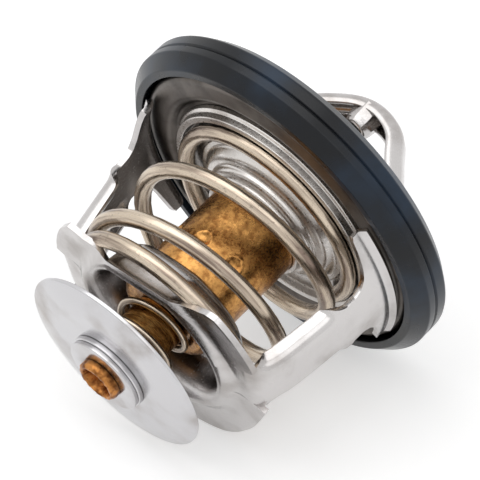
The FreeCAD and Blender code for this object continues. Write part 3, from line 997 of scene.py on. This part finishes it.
@dataclass
class ValveGroup:
    """The valve, its cap, the wax element and what moves with them."""

    shop: Shop
    # A rolled lip over a short drawn wall.
    valve: tuple[Corner, ...] = (
        (16.8, -3.15, 0.12),
        (17.85, -3.15, 0.14),
        (18.0, -2.1, 0.1),
        (18.5, -1.95, 0.16),
        (18.5, -1.1, 0.16),
        (5.65, -1.1, 0.0),
        (5.65, -2.0, 0.0),
        (16.7, -2.0, 0.2),
    )
    # Neck, ledge, step, cone and the brim that lies on the valve, then back along the inside.
    cap: tuple[Corner, ...] = (
        (8.35, -6.7, 0.15),
        (8.35, -5.25, 0.5),
        (9.7, -5.2, 0.6),
        (9.9, -4.15, 0.4),
        (11.2, -4.1, 0.6),
        (12.2, -2.6, 0.4),
        (13.3, -2.6, 0.2),
        (13.3, -2.03, 0.0),
        (11.8, -2.03, 0.3),
        (10.8, -3.5, 0.3),
        (8.7, -3.5, 0.2),
        (8.7, -4.6, 0.2),
        (7.75, -4.6, 0.2),
        (7.66, -6.7, 0.0),
    )
    # The ring that keeps the valve on its hub.
    hub_ring: tuple[Corner, ...] = (
        (5.6, -1.1, 0.0),
        (7.4, -1.1, 0.0),
        (7.4, -0.3, 0.2),
        (5.6, -0.3, 0.2),
    )
    # The stem's tube with its bore at the bottom, spun over outwards.
    tube: tuple[Corner, ...] = (
        (0.0, -35.7, 0.0),
        (2.0, -35.9, 0.0),
        (2.35, -38.7, 0.0),
        (2.6, -39.35, 0.12),
        (3.0, -39.4, 0.2),
        (3.35, -38.9, 0.25),
        (3.35, -38.0, 0.0),
        (3.28, -38.0, 0.0),
        (3.3, -35.0, 0.0),
        (3.3, -31.5, 0.0),
        (0.0, -31.5, 0.0),
    )
    # Below this height the tube's end is rough: bumps per millimetre and their height.
    spun_below: float = -38.1
    lumps: Pair = (1.7, 0.12)
    tears: Pair = (5.0, 0.06)
    waves: Pair = (2.1, 0.12)
    shaft_radius: float = 4.15
    shaft_span: Pair = (-31.9, -25.9)
    washer_bore: float = 3.3
    washer_radius: float = 6.3
    washer_top: float = -36.4
    washer_sheet: float = 0.8
    washer_step: float = 0.2
    cup_radius: float = 7.6
    cup_bore: float = 6.9
    cup_base: float = -25.8
    cup_base_radius: float = 6.75
    cup_floor: float = -25.1
    # Rings of vertices up the cup's wall, close enough together for the dimples.
    wall_base: float = -24.9
    wall_rows: int = 68
    wall_row: float = 0.3
    collar_radius: float = 8.5
    collar: Pair = (-4.6, -3.9)
    dimples: int = 8
    first_dimple: float = -88.0
    dimple_height: float = -15.5
    dimple_reach: float = 1.3
    dimple_depth: float = 0.6
    # The raised ring round a dimple: its height as a share of the depth, place and half width.
    ridge: Triple = (0.12, 1.05, 0.2)

    def build(self) -> list[bpy.types.Object]:
        """Make every visible piece of the group.

        Returns:
            The pieces.
        """
        return [
            self.turned("valve_pan", "main_valve", Look.VALVE, self.valve, 0.04),
            self.turned("cap", "retaining_cap", Look.VALVE, self.cap, 0.08),
            self.turned("hub_ring", "retaining_ring", Look.DISC, self.hub_ring, 0.12),
            self.turned("washer_upper", "bypass_washer_inner", Look.DISC, self.washer(0), 0.08),
            self.turned("washer_lower", "bypass_washer_outer", Look.DISC, self.washer(1), 0.08),
            self.element(),
            self.stem(),
            self.shaft(),
        ]

    def turned(
        self, name: str, node: str, look: Look, section: Sequence[Corner], edge: float
    ) -> bpy.types.Object:
        """Turn one piece and hand it over.

        Args:
            name: The piece's name.
            node: The CAD node that it stands for.
            look: Its finish.
            section: Its corners.
            edge: Width of its broken edges.

        Returns:
            The piece.
        """
        return self.shop.add_crisp(name, lathe(section), Body.VALVE, look, [node], edge=edge)

    def washer(self, index: int) -> list[Corner]:
        """Section of one of the two washers under the bypass disc.

        Args:
            index: 0 for the upper washer and 1 for the lower, which is a little smaller.

        Returns:
            The corners.
        """
        top = self.washer_top - self.washer_sheet * index
        radius = self.washer_radius - self.washer_step * index
        return [
            (self.washer_bore, top - self.washer_sheet, 0.0),
            (radius, top - self.washer_sheet, 0.2),
            (radius, top, 0.12),
            (self.washer_bore, top, 0.0),
        ]

    def element(self) -> bpy.types.Object:
        """Draw the brass cup and press the ring of dimples into it.

        Returns:
            The cup.
        """
        low, high = self.collar
        heights = [self.wall_base + self.wall_row * row for row in range(self.wall_rows)]
        section = [
            (self.washer_bore, self.cup_base, 0.0),
            (self.cup_base_radius, self.cup_base, 0.45),
            *((self.cup_radius, height, 0.0) for height in heights),
            (self.cup_radius, low, 0.0),
            (self.collar_radius, low, 0.0),
            (self.collar_radius, high, 0.0),
            (self.cup_bore, high, 0.0),
            (self.cup_bore, self.cup_floor, 0.0),
            (self.washer_bore, self.cup_floor, 0.0),
        ]
        bm = lathe(section, steps=288)
        for index in range(self.dimples):
            self.press(bm, math.radians(self.first_dimple + 360.0 / self.dimples * index))
        return self.shop.add_crisp("wax_element", bm, Body.VALVE, Look.BRASS, ["element_cup"])

    def press(self, bm: bmesh.types.BMesh, angle: float) -> None:
        """Push one round dimple toward the axis.

        Args:
            bm: The turned cup.
            angle: Direction of the dimple in radians.
        """
        outward = Vector((math.cos(angle), math.sin(angle), 0.0))
        centre = outward * self.cup_radius + Vector((0.0, 0.0, self.dimple_height))
        height, place, half = self.ridge
        skin = (self.cup_radius + self.cup_bore) / 2.0
        for vert in bm.verts:
            if math.hypot(vert.co.x, vert.co.y) > skin:
                share = (vert.co - centre).length / self.dimple_reach
                if share < place + half:
                    dent = 1.0 - min(share, 1.0) ** 2
                    raised = height * max(0.0, 1.0 - abs(share - place) / half)
                    vert.co -= outward * self.dimple_depth * (dent - raised)

    def stem(self) -> bpy.types.Object:
        """Turn the stem's tube and rough up its spun end.

        Returns:
            The tube.
        """
        bm = lathe(self.tube, steps=96)
        elsewhere = Vector((9.0, 0.0, 0.0))
        for vert in bm.verts:
            if vert.co.z < self.spun_below:
                rough = (self.lumps, self.tears)
                push = sum(noise.noise(vert.co * rate) * rise for rate, rise in rough)
                vert.co += Vector((vert.co.x, vert.co.y, 0.0)).normalized() * push
                rate, rise = self.waves
                vert.co.z += noise.noise(vert.co * rate + elsewhere) * rise
        return self.shop.add_crisp(
            "stem_tube", bm, Body.VALVE, Look.COPPER, ["bypass_stem"], edge=0.05
        )

    def shaft(self) -> bpy.types.Object:
        """Turn the thicker shaft above the tube, inside the small spring.

        Returns:
            The shaft.
        """
        low, high = self.shaft_span
        section = [
            (0.0, low, 0.0),
            (self.shaft_radius, low, 0.3),
            (self.shaft_radius, high, 0.0),
            (0.0, high, 0.0),
        ]
        bm = lathe(section, steps=96)
        return self.shop.add_crisp("stem_shaft", bm, Body.VALVE, Look.SHAFT, edge=0.05)


@dataclass
class BypassDisc:
    """The disc that closes the bypass port, a little off the axis."""

    shop: Shop
    offset: Triple = (-0.2, 0.0, -0.6)
    # The flat middle and the edge that dishes back, below and then above.
    section: tuple[Corner, ...] = (
        (3.36, -35.8, 0.0),
        (9.6, -35.8, 0.0),
        (11.2, -35.72, 0.0),
        (12.6, -35.5, 0.0),
        (13.8, -35.2, 0.0),
        (14.7, -34.95, 0.0),
        (15.35, -34.78, 0.25),
        (15.35, -34.05, 0.25),
        (13.8, -34.45, 0.0),
        (12.6, -34.74, 0.0),
        (11.2, -34.94, 0.0),
        (9.6, -35.0, 0.0),
        (3.36, -35.0, 0.0),
    )

    def build(self) -> list[bpy.types.Object]:
        """Turn the disc."""
        bm = lathe(self.section, steps=224)
        shift(bm, self.offset)
        return [
            self.shop.add_crisp(
                "bypass_plate", bm, Body.BYPASS, Look.DISC, ["bypass_disc"], edge=0.06
            )
        ]


@dataclass
class LowerFrame:
    """The pressed plate with its bowl and its two channel legs."""

    shop: Shop
    sheet: float = 0.9
    # Where a leg leaves the plate: distance from the axis, and half width of the bend.
    root: float = 17.2
    slit: float = 3.8
    # Columns over a leg and between the legs, and the angle of the first one beside a leg.
    columns: int = 40
    gap_columns: int = 72
    gap_start: float = 0.8
    # The lean toward +X: how far, the height that it starts at and the drop that it takes.
    lean: Triple = (0.9, -3.0, 24.0)
    # Height of the middle of the sheet by radius: boss, bowl wall, rolled rim and flat.
    bowl: tuple[Pair, ...] = (
        (7.7, -21.75),
        (9.6, -21.75),
        (10.3, -21.9),
        (10.8, -22.4),
        (11.1, -23.2),
        (11.3, -24.4),
        (11.5, -25.8),
        (11.7, -26.9),
        (11.95, -27.7),
        (12.3, -28.2),
        (12.7, -28.4),
        (13.1, -28.3),
        (13.6, -27.9),
        (14.2, -27.4),
        (14.8, -27.08),
        (15.6, -26.95),
    )
    # Rings of vertices over the bowl and its rim, close together where the sheet bends.
    rings: tuple[float, ...] = (
        7.7, 8.6, 9.6, 10.0, 10.3, 10.6, 10.8, 10.95, 11.1, 11.2, 11.3, 11.4, 11.5,
        11.6, 11.7, 11.82, 11.95, 12.1, 12.3, 12.5, 12.7, 12.9, 13.1,
    )
    flat_rings: int = 9
    # The least width of flat that stays outside the rim, where the plate is trimmed.
    margin: float = 0.35
    # Radius of the plate's outline by direction, in degrees from the leg at +X.
    outline: tuple[Pair, ...] = (
        (-180.0, 19.4),
        (-166.0, 19.5),
        (-159.0, 19.6),
        (-146.0, 19.7),
        (-137.5, 19.3),
        (-135.6, 18.6),
        (-134.4, 17.0),
        (-126.0, 14.9),
        (-120.0, 13.95),
        (-112.0, 13.1),
        (-104.0, 12.5),
        (-97.0, 12.2),
        (-90.0, 12.1),
        (-83.0, 12.15),
        (-76.0, 12.4),
        (-68.0, 12.95),
        (-60.0, 13.85),
        (-53.0, 14.95),
        (-49.5, 16.3),
        (-46.5, 18.0),
        (-42.5, 19.0),
        (-31.0, 19.4),
        (-19.0, 19.7),
        (0.0, 19.9),
        (13.0, 19.8),
        (25.0, 19.1),
        (45.0, 19.1),
        (65.0, 19.9),
        (90.0, 20.1),
        (115.0, 20.0),
        (135.0, 19.5),
        (155.0, 19.3),
        (180.0, 19.4),
    )
    # A leg's line from above its root to the flange: distance from the axis and height.
    leg_line: tuple[Pair, ...] = (
        (18.3, -26.55),
        (19.15, -25.6),
        (19.7, -24.3),
        (20.5, -21.5),
        (21.9, -13.5),
        (22.5, -8.6),
        (22.9, -5.4),
        (22.95, -3.9),
        (23.8, -3.05),
    )
    leg_rows: int = 90
    # Half width of a leg along its section, by distance from the plate.
    leg_widths: tuple[Pair, ...] = (
        (0.0, 3.8),
        (1.5, 4.3),
        (3.5, 5.3),
        (6.0, 5.4),
        (14.6, 5.3),
        (16.0, 4.3),
        (17.4, 3.75),
        (19.4, 3.8),
        (20.6, 4.3),
        (21.6, 5.4),
        (22.2, 7.0),
        (22.6, 9.2),
        (22.85, 11.2),
        (23.1, 11.9),
        (30.0, 11.9),
    )
    # The channel: half width of its web, length of its roll, and the stretch it comes in over.
    web_half: float = 2.2
    roll: float = 2.3
    roll_in: float = 4.0
    # Where along the leg the roll fades out and the strap wraps round the axis, and how fast.
    roll_out: Pair = (14.2, 3.0)
    wrap: Pair = (13.0, 7.0)

    def build(self) -> list[bpy.types.Object]:
        """Make the plate, join both legs to it and hand it over.

        Returns:
            The frame, as one piece.
        """
        bm = self.plate()
        shape = self.leg()
        leg = bpy.data.meshes.new("leg")
        shape.to_mesh(leg)
        shape.free()
        for _ in range(2):
            bm.from_mesh(leg)
            leg.transform(Matrix.Diagonal((-1.0, -1.0, 1.0, 1.0)))
        bpy.data.meshes.remove(leg)
        bmesh.ops.remove_doubles(bm, verts=bm.verts[:], dist=0.02)
        sway, top, drop = self.lean
        for vert in bm.verts:
            vert.co.x += sway * eased((top - vert.co.z) / drop)
        return [
            self.shop.add_crisp(
                "cage", bm, Body.FRAME, Look.STEEL, ["lower_frame"], edge=0.14, sheet=self.sheet
            )
        ]

    def directions(self) -> list[float]:
        """Directions of the plate's columns, fine where a leg grows out of it.

        Returns:
            The directions of a full turn, in degrees.
        """
        edge = [self.slit * (2.0 * k / self.columns - 1.0) for k in range(self.columns + 1)]
        fan = [math.degrees(math.atan2(y, self.root)) for y in edge]
        rest = 180.0 - 2.0 * fan[-1]
        gap = [fan[-1] + rest * k / self.gap_columns for k in range(1, self.gap_columns)]
        gap[0] = fan[-1] + self.gap_start
        gap[-1] = 180.0 - fan[-1] - self.gap_start
        half = fan + gap
        return half + [angle + 180.0 for angle in half]

    def plate(self) -> bmesh.types.BMesh:
        """The plate as a grid of rings and directions, joined into a full turn.

        Returns:
            The bmesh in millimetres.
        """
        directions = self.directions()
        bm = mapped_grid(
            len(directions) + 1,
            len(self.rings) + self.flat_rings,
            lambda column, row: self.plate_spot(directions[column % len(directions)], row),
        )
        bmesh.ops.remove_doubles(bm, verts=bm.verts[:], dist=1e-4)
        return bm

    def plate_spot(self, angle: float, row: int) -> Vector:
        """One vertex of the plate.

        Where the trimmed edge comes close to the bowl, the bowl's rings are squeezed inwards.

        Args:
            angle: Its direction in degrees.
            row: The number of its ring, from the inside.

        Returns:
            Its position.
        """
        near = abs((angle + 90.0) % 180.0 - 90.0)
        if near <= math.degrees(math.atan2(self.slit, self.root)) + 0.01:
            edge = self.root / math.cos(math.radians(near))
        else:
            edge = between(self.outline, (angle + 180.0) % 360.0 - 180.0)
        first, last = self.rings[0], self.rings[-1]
        squeeze = min(1.0, (edge - self.margin - first) / (last - first))
        lip = first + (last - first) * squeeze
        if row < len(self.rings):
            radius = first + (self.rings[row] - first) * squeeze
            height = between(self.bowl, self.rings[row])
        else:
            radius = lip + (edge - lip) * (row - len(self.rings) + 1) / self.flat_rings
            height = between(self.bowl, last + radius - lip)
        turn = math.radians(angle)
        return Vector((radius * math.cos(turn), radius * math.sin(turn), height))

    def leg(self) -> bmesh.types.BMesh:
        """The leg at +X, from the plate to the flare of its head.

        Returns:
            The bmesh in millimetres.
        """
        line = smooth_line([(self.root, self.bowl[-1][1]), *self.leg_line], self.leg_rows)
        reach = [0.0]
        for (x0, z0), (x1, z1) in zip(line, line[1:]):
            reach.append(reach[-1] + math.hypot(x1 - x0, z1 - z0))
        return mapped_grid(
            self.columns + 1,
            self.leg_rows,
            lambda column, row: self.leg_spot(line, reach[row], column, row),
        )

    def leg_spot(self, line: Sequence[Pair], along: float, column: int, row: int) -> Vector:
        """One vertex of the leg: a channel that opens into a piece of a cylinder.

        Args:
            line: The leg's line.
            along: Distance from the plate along it.
            column: The vertex's column, across the leg.
            row: Its row, along the line.

        Returns:
            Its position.
        """
        x, z = line[row]
        ahead = heading(line, row)
        share = 2.0 * column / self.columns - 1.0
        run = abs(share) * between(self.leg_widths, along)
        fade, stretch = self.roll_out
        amount = eased(along / self.roll_in) * (1.0 - eased((along - fade) / stretch))
        out, deep = curl(run, self.web_half, self.roll, amount)
        strap = Vector((x - ahead.y * deep, math.copysign(out, share), z + ahead.x * deep))
        angle = run / x
        shell = Vector((x * math.cos(angle), math.copysign(x * math.sin(angle), share), z))
        begin, stretch = self.wrap
        return strap.lerp(shell, eased((along - begin) / stretch))


@dataclass
class UpperBridge:
    """The strap that arches over the opening and holds the piston."""

    shop: Shop
    sheet: float = 0.8
    columns: int = 20
    rows: int = 120
    # The strap's line: distance from the axis and height, from one foot to the other.
    line: tuple[Pair, ...] = (
        (-18.5, 0.35),
        (-16.9, 0.5),
        (-16.2, 2.2),
        (-14.9, 8.0),
        (-11.8, 12.3),
        (-8.6, 16.2),
        (-5.2, 18.6),
        (-1.9, 20.1),
        (1.2, 20.35),
        (4.2, 19.6),
        (7.2, 17.9),
        (9.9, 14.6),
        (12.4, 11.6),
        (14.6, 8.6),
        (16.1, 2.2),
        (16.9, 0.5),
        (18.5, 0.35),
    )
    # Share of the line that a foot stays flat for, and that the roll comes in over.
    foot: Pair = (0.03, 0.1)
    # Half width at the feet, and what the arch has more of it.
    half: Pair = (2.6, 1.0)
    web_half: float = 0.7
    roll: float = 2.6
    # How far the edges curl at the feet, as a share of a right angle, and how much more above.
    curl_share: Pair = (0.15, 1.0)
    # The pocket under the crown that takes the piston's end, pinched from a few sides.
    pocket: tuple[Corner, ...] = (
        (0.0, 15.45, 0.0),
        (1.9, 15.45, 0.3),
        (2.4, 16.6, 0.3),
        (2.7, 19.6, 0.0),
        (0.0, 19.6, 0.0),
    )
    pocket_sides: int = 8
    # Dents per millimetre in the pocket, and their depth.
    dents: Pair = (0.55, 0.3)

    def build(self) -> list[bpy.types.Object]:
        """Make the rolled strap and the pocket under its crown.

        Returns:
            The strap and the pocket.
        """
        line = smooth_line(self.line, self.rows)
        bm = mapped_grid(
            self.columns + 1, self.rows, lambda column, row: self.strap_spot(line, column, row)
        )
        cup = lathe(self.pocket, steps=self.pocket_sides)
        rate, depth = self.dents
        for vert in cup.verts:
            vert.co += vert.co.normalized() * noise.noise(vert.co * rate) * depth
        return [
            self.shop.add_crisp(
                "bridge_strap", bm, Body.FRAME, Look.STEEL, ["upper_bridge"],
                edge=0.14, sheet=self.sheet,
            ),
            self.shop.add_crisp("piston_pocket", cup, Body.FRAME, Look.STEEL),
        ]

    def strap_spot(self, line: Sequence[Pair], column: int, row: int) -> Vector:
        """One vertex of the strap.

        Args:
            line: The strap's line.
            column: The vertex's column, across the strap.
            row: Its row, along the line.

        Returns:
            Its position.
        """
        x, z = line[row]
        ahead = heading(line, row)
        share = 2.0 * column / self.columns - 1.0
        flat, stretch = self.foot
        amount = eased((min(row, self.rows - 1 - row) / self.rows - flat) / stretch)
        run = abs(share) * (self.half[0] + self.half[1] * amount)
        turn = self.curl_share[0] + self.curl_share[1] * amount
        out, deep = curl(run, self.web_half, self.roll, turn)
        return Vector((x + ahead.y * deep, math.copysign(out, share), z - ahead.x * deep))


@dataclass
class Springs:
    """The main spring and the bypass spring."""

    shop: Shop
    # Sits on the plate, dips at its trimmed edge and ends flat under the valve.
    main: Coil = Coil(
        name="valve_spring",
        wire=2.5,
        start=-156.0,
        stations=(
            (0.0, -25.2, 14.5),
            (0.06, -25.4, 14.55),
            (0.14, -26.15, 14.6),
            (0.25, -26.15, 14.7),
            (0.33, -25.3, 14.8),
            (0.5, -24.95, 15.0),
            (1.0, -22.95, 15.4),
            (2.0, -12.6, 15.45),
            (3.0, -3.3, 15.25),
            (3.58, -3.3, 15.25),
        ),
    )
    # Sits on the bypass disc and ends flat under the element.
    small: Coil = Coil(
        name="disc_spring",
        wire=1.0,
        start=60.0,
        stations=(
            (0.0, -35.05, 5.1),
            (1.0, -34.0, 5.25),
            (2.0, -32.8, 5.35),
            (3.0, -30.1, 5.45),
            (3.75, -26.7, 5.2),
            (4.35, -26.35, 5.0),
        ),
    )

    def build(self) -> list[bpy.types.Object]:
        """Wind both springs and tie them to the joints that squash them.

        Returns:
            Both springs.
        """
        main = self.wound(self.main, Body.FRAME, "main_spring")
        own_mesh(main)
        small = self.wound(self.small, Body.VALVE, "bypass_spring")
        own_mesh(small)
        return [main, small]

    def wound(self, coil: Coil, body: Body, node: str) -> bpy.types.Object:
        """Wind one spring and hand it over."""
        return self.shop.add(coil.name, coil.mesh(), body, Look.WIRE, [node])


@dataclass
class HiddenWorks:
    """CAD pieces that keep their own mesh, most of them inside the element."""

    shop: Shop
    nodes: dict[str, bpy.types.Object]
    looks: tuple[tuple[str, Look], ...] = (
        ("piston", Look.PISTON),
        ("piston_guide", Look.BRASS),
        ("packing_washer", Look.DISC),
        ("rubber_boot", Look.RUBBER),
        ("wax_charge", Look.WAX),
    )

    def build(self) -> list[bpy.types.Object]:
        """Give each of them its finish.

        Returns:
            The pieces.
        """
        for name, look in self.looks:
            self.shop.palette.paint(self.nodes[name], look)
        return [self.nodes[name] for name, _ in self.looks]


@dataclass
class Studio:
    """The pale floor, the soft lamps, the plain world and the camera, in metres."""

    up: Vector
    eye: Vector
    right: Vector
    down: Vector
    ahead: Vector
    lens: float = 225.0
    floor_half: float = 3.0
    floor_gap: float = 0.0003
    paper: float = 0.82
    paper_glow: float = 0.47
    room_light: float = 0.45

    def build(self, pieces: Sequence[bpy.types.Object]) -> None:
        """Set up everything round the object.

        Args:
            pieces: The visible pieces that stand on the floor.
        """
        bpy.context.scene.view_settings.view_transform = "Standard"
        self.floor(pieces)
        self.lamps()
        self.world()
        self.camera()

    def floor(self, pieces: Sequence[bpy.types.Object]) -> None:
        """Lay the floor under the lowest point of the object.

        Args:
            pieces: The visible pieces that stand on it.
        """
        lowest = min(
            self.up.dot(piece.matrix_world @ vert.co)
            for piece in pieces
            for vert in piece.data.vertices
        )
        bm = bmesh.new()
        bmesh.ops.create_grid(bm, x_segments=8, y_segments=8, size=self.floor_half)
        turn = Vector((0.0, 0.0, 1.0)).rotation_difference(self.up).to_matrix().to_4x4()
        bmesh.ops.transform(
            bm,
            matrix=Matrix.Translation(self.up * (lowest - self.floor_gap)) @ turn,
            verts=bm.verts[:],
        )
        mesh = bpy.data.meshes.new("floor")
        bm.to_mesh(mesh)
        bm.free()
        floor = bpy.data.objects.new("floor", mesh)
        bpy.context.scene.collection.objects.link(floor)
        floor.data.materials.append(self.floor_material())

    def floor_material(self) -> bpy.types.Material:
        """Matt white paper that reads as white and takes the object's shadow.

        Its underside is clear, so the object can be looked at from below as well.

        Returns:
            The material.
        """
        material = empty_material("paper_white")
        tree = material.node_tree
        grey = (self.paper, self.paper, self.paper, 1.0)
        paper = add_node(tree, "ShaderNodeBsdfDiffuse", {"Color": grey, "Roughness": 0.4})
        level = add_node(
            tree,
            "ShaderNodeMath",
            {0: backdrop_rays(tree), 1: self.paper_glow},
            operation="MULTIPLY",
        )
        glow = add_node(
            tree, "ShaderNodeEmission", {"Color": WHITE, "Strength": level.outputs[0]}
        )
        front = add_node(tree, "ShaderNodeAddShader", {0: paper.outputs[0], 1: glow.outputs[0]})
        side = add_node(tree, "ShaderNodeNewGeometry")
        clear = add_node(tree, "ShaderNodeBsdfTransparent")
        sheet = add_node(
            tree,
            "ShaderNodeMixShader",
            {0: side.outputs["Backfacing"], 1: front.outputs[0], 2: clear.outputs[0]},
        )
        add_node(tree, "ShaderNodeOutputMaterial", {"Surface": sheet.outputs[0]})
        return material

    def lamps(self) -> None:
        """Hang one large softbox over the object and a weaker one in front."""
        above = self.up * 0.75 - self.right * 0.28 - self.ahead * 0.1
        before = self.up * 0.35 - self.ahead * 0.7 + self.right * 0.35
        self.softbox("key", above, size=0.9, power=3.3)
        self.softbox("fill", before, size=0.6, power=0.9)

    def softbox(self, name: str, spot: Vector, size: float, power: float) -> None:
        """Hang one square lamp that faces the object.

        Args:
            name: The lamp's name.
            spot: Its position in metres.
            size: Its side in metres.
            power: Its power in watts.
        """
        data = bpy.data.lights.new(name, "AREA")
        data.shape = "SQUARE"
        data.size = size
        data.energy = power
        lamp = bpy.data.objects.new(name, data)
        bpy.context.scene.collection.objects.link(lamp)
        lamp.location = spot
        lamp.rotation_euler = (-spot).to_track_quat("-Z", "Y").to_euler()

    def world(self) -> None:
        """Make the room soft grey, and white to the camera and to the metal."""
        world = bpy.data.worlds.new("studio")
        world.use_nodes = True
        tree = world.node_tree
        tree.nodes.clear()
        level = add_node(
            tree,
            "ShaderNodeMapRange",
            {
                "Value": backdrop_rays(tree),
                "From Min": 0.0,
                "From Max": 1.0,
                "To Min": self.room_light,
                "To Max": 1.0,
            },
        )
        room = add_node(
            tree, "ShaderNodeBackground", {"Color": WHITE, "Strength": level.outputs[0]}
        )
        add_node(tree, "ShaderNodeOutputWorld", {"Surface": room.outputs[0]})
        bpy.context.scene.world = world

    def camera(self) -> None:
        """Put a long lens where the photographer stood."""
        data = bpy.data.cameras.new("camera")
        data.lens = self.lens
        data.sensor_width = 36.0
        data.clip_start = 0.01
        data.clip_end = 20.0
        camera = bpy.data.objects.new("camera", data)
        bpy.context.scene.collection.objects.link(camera)
        axes = Matrix((self.right, -self.down, -self.ahead)).transposed().to_4x4()
        camera.matrix_world = Matrix.Translation(self.eye) @ axes
        bpy.context.scene.camera = camera


def main() -> None:
    """Build the pieces round the CAD frame, then the studio."""
    logging.basicConfig(level=logging.INFO)
    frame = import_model()
    shop = Shop(Palette())
    assemblies = (
        RimSeal(shop),
        Flange(shop),
        ValveGroup(shop),
        BypassDisc(shop),
        LowerFrame(shop),
        UpperBridge(shop),
        Springs(shop),
        HiddenWorks(shop, frame["nodes"]),
    )
    for assembly in assemblies:
        for piece in assembly.build():
            count = len(piece.data.vertices)
            LOG.info("%s: %s, %d vertices", type(assembly).__name__, piece.name, count)
    bpy.context.view_layer.update()
    standing = ("rim_seal", "bypass_plate", "cage")
    Studio(
        up=Vector((-0.070, -0.943, 0.325)).normalized(),
        eye=Vector((0.22172, -0.32903, -0.16423)),
        right=Vector((0.7259, 0.1761, 0.6649)),
        down=Vector((0.4493, 0.6106, -0.6522)),
        ahead=Vector((-0.5208, 0.7721, 0.3641)),
    ).build([bpy.data.objects[name] for name in standing])
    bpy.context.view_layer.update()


if __name__ == "__main__":
    main()
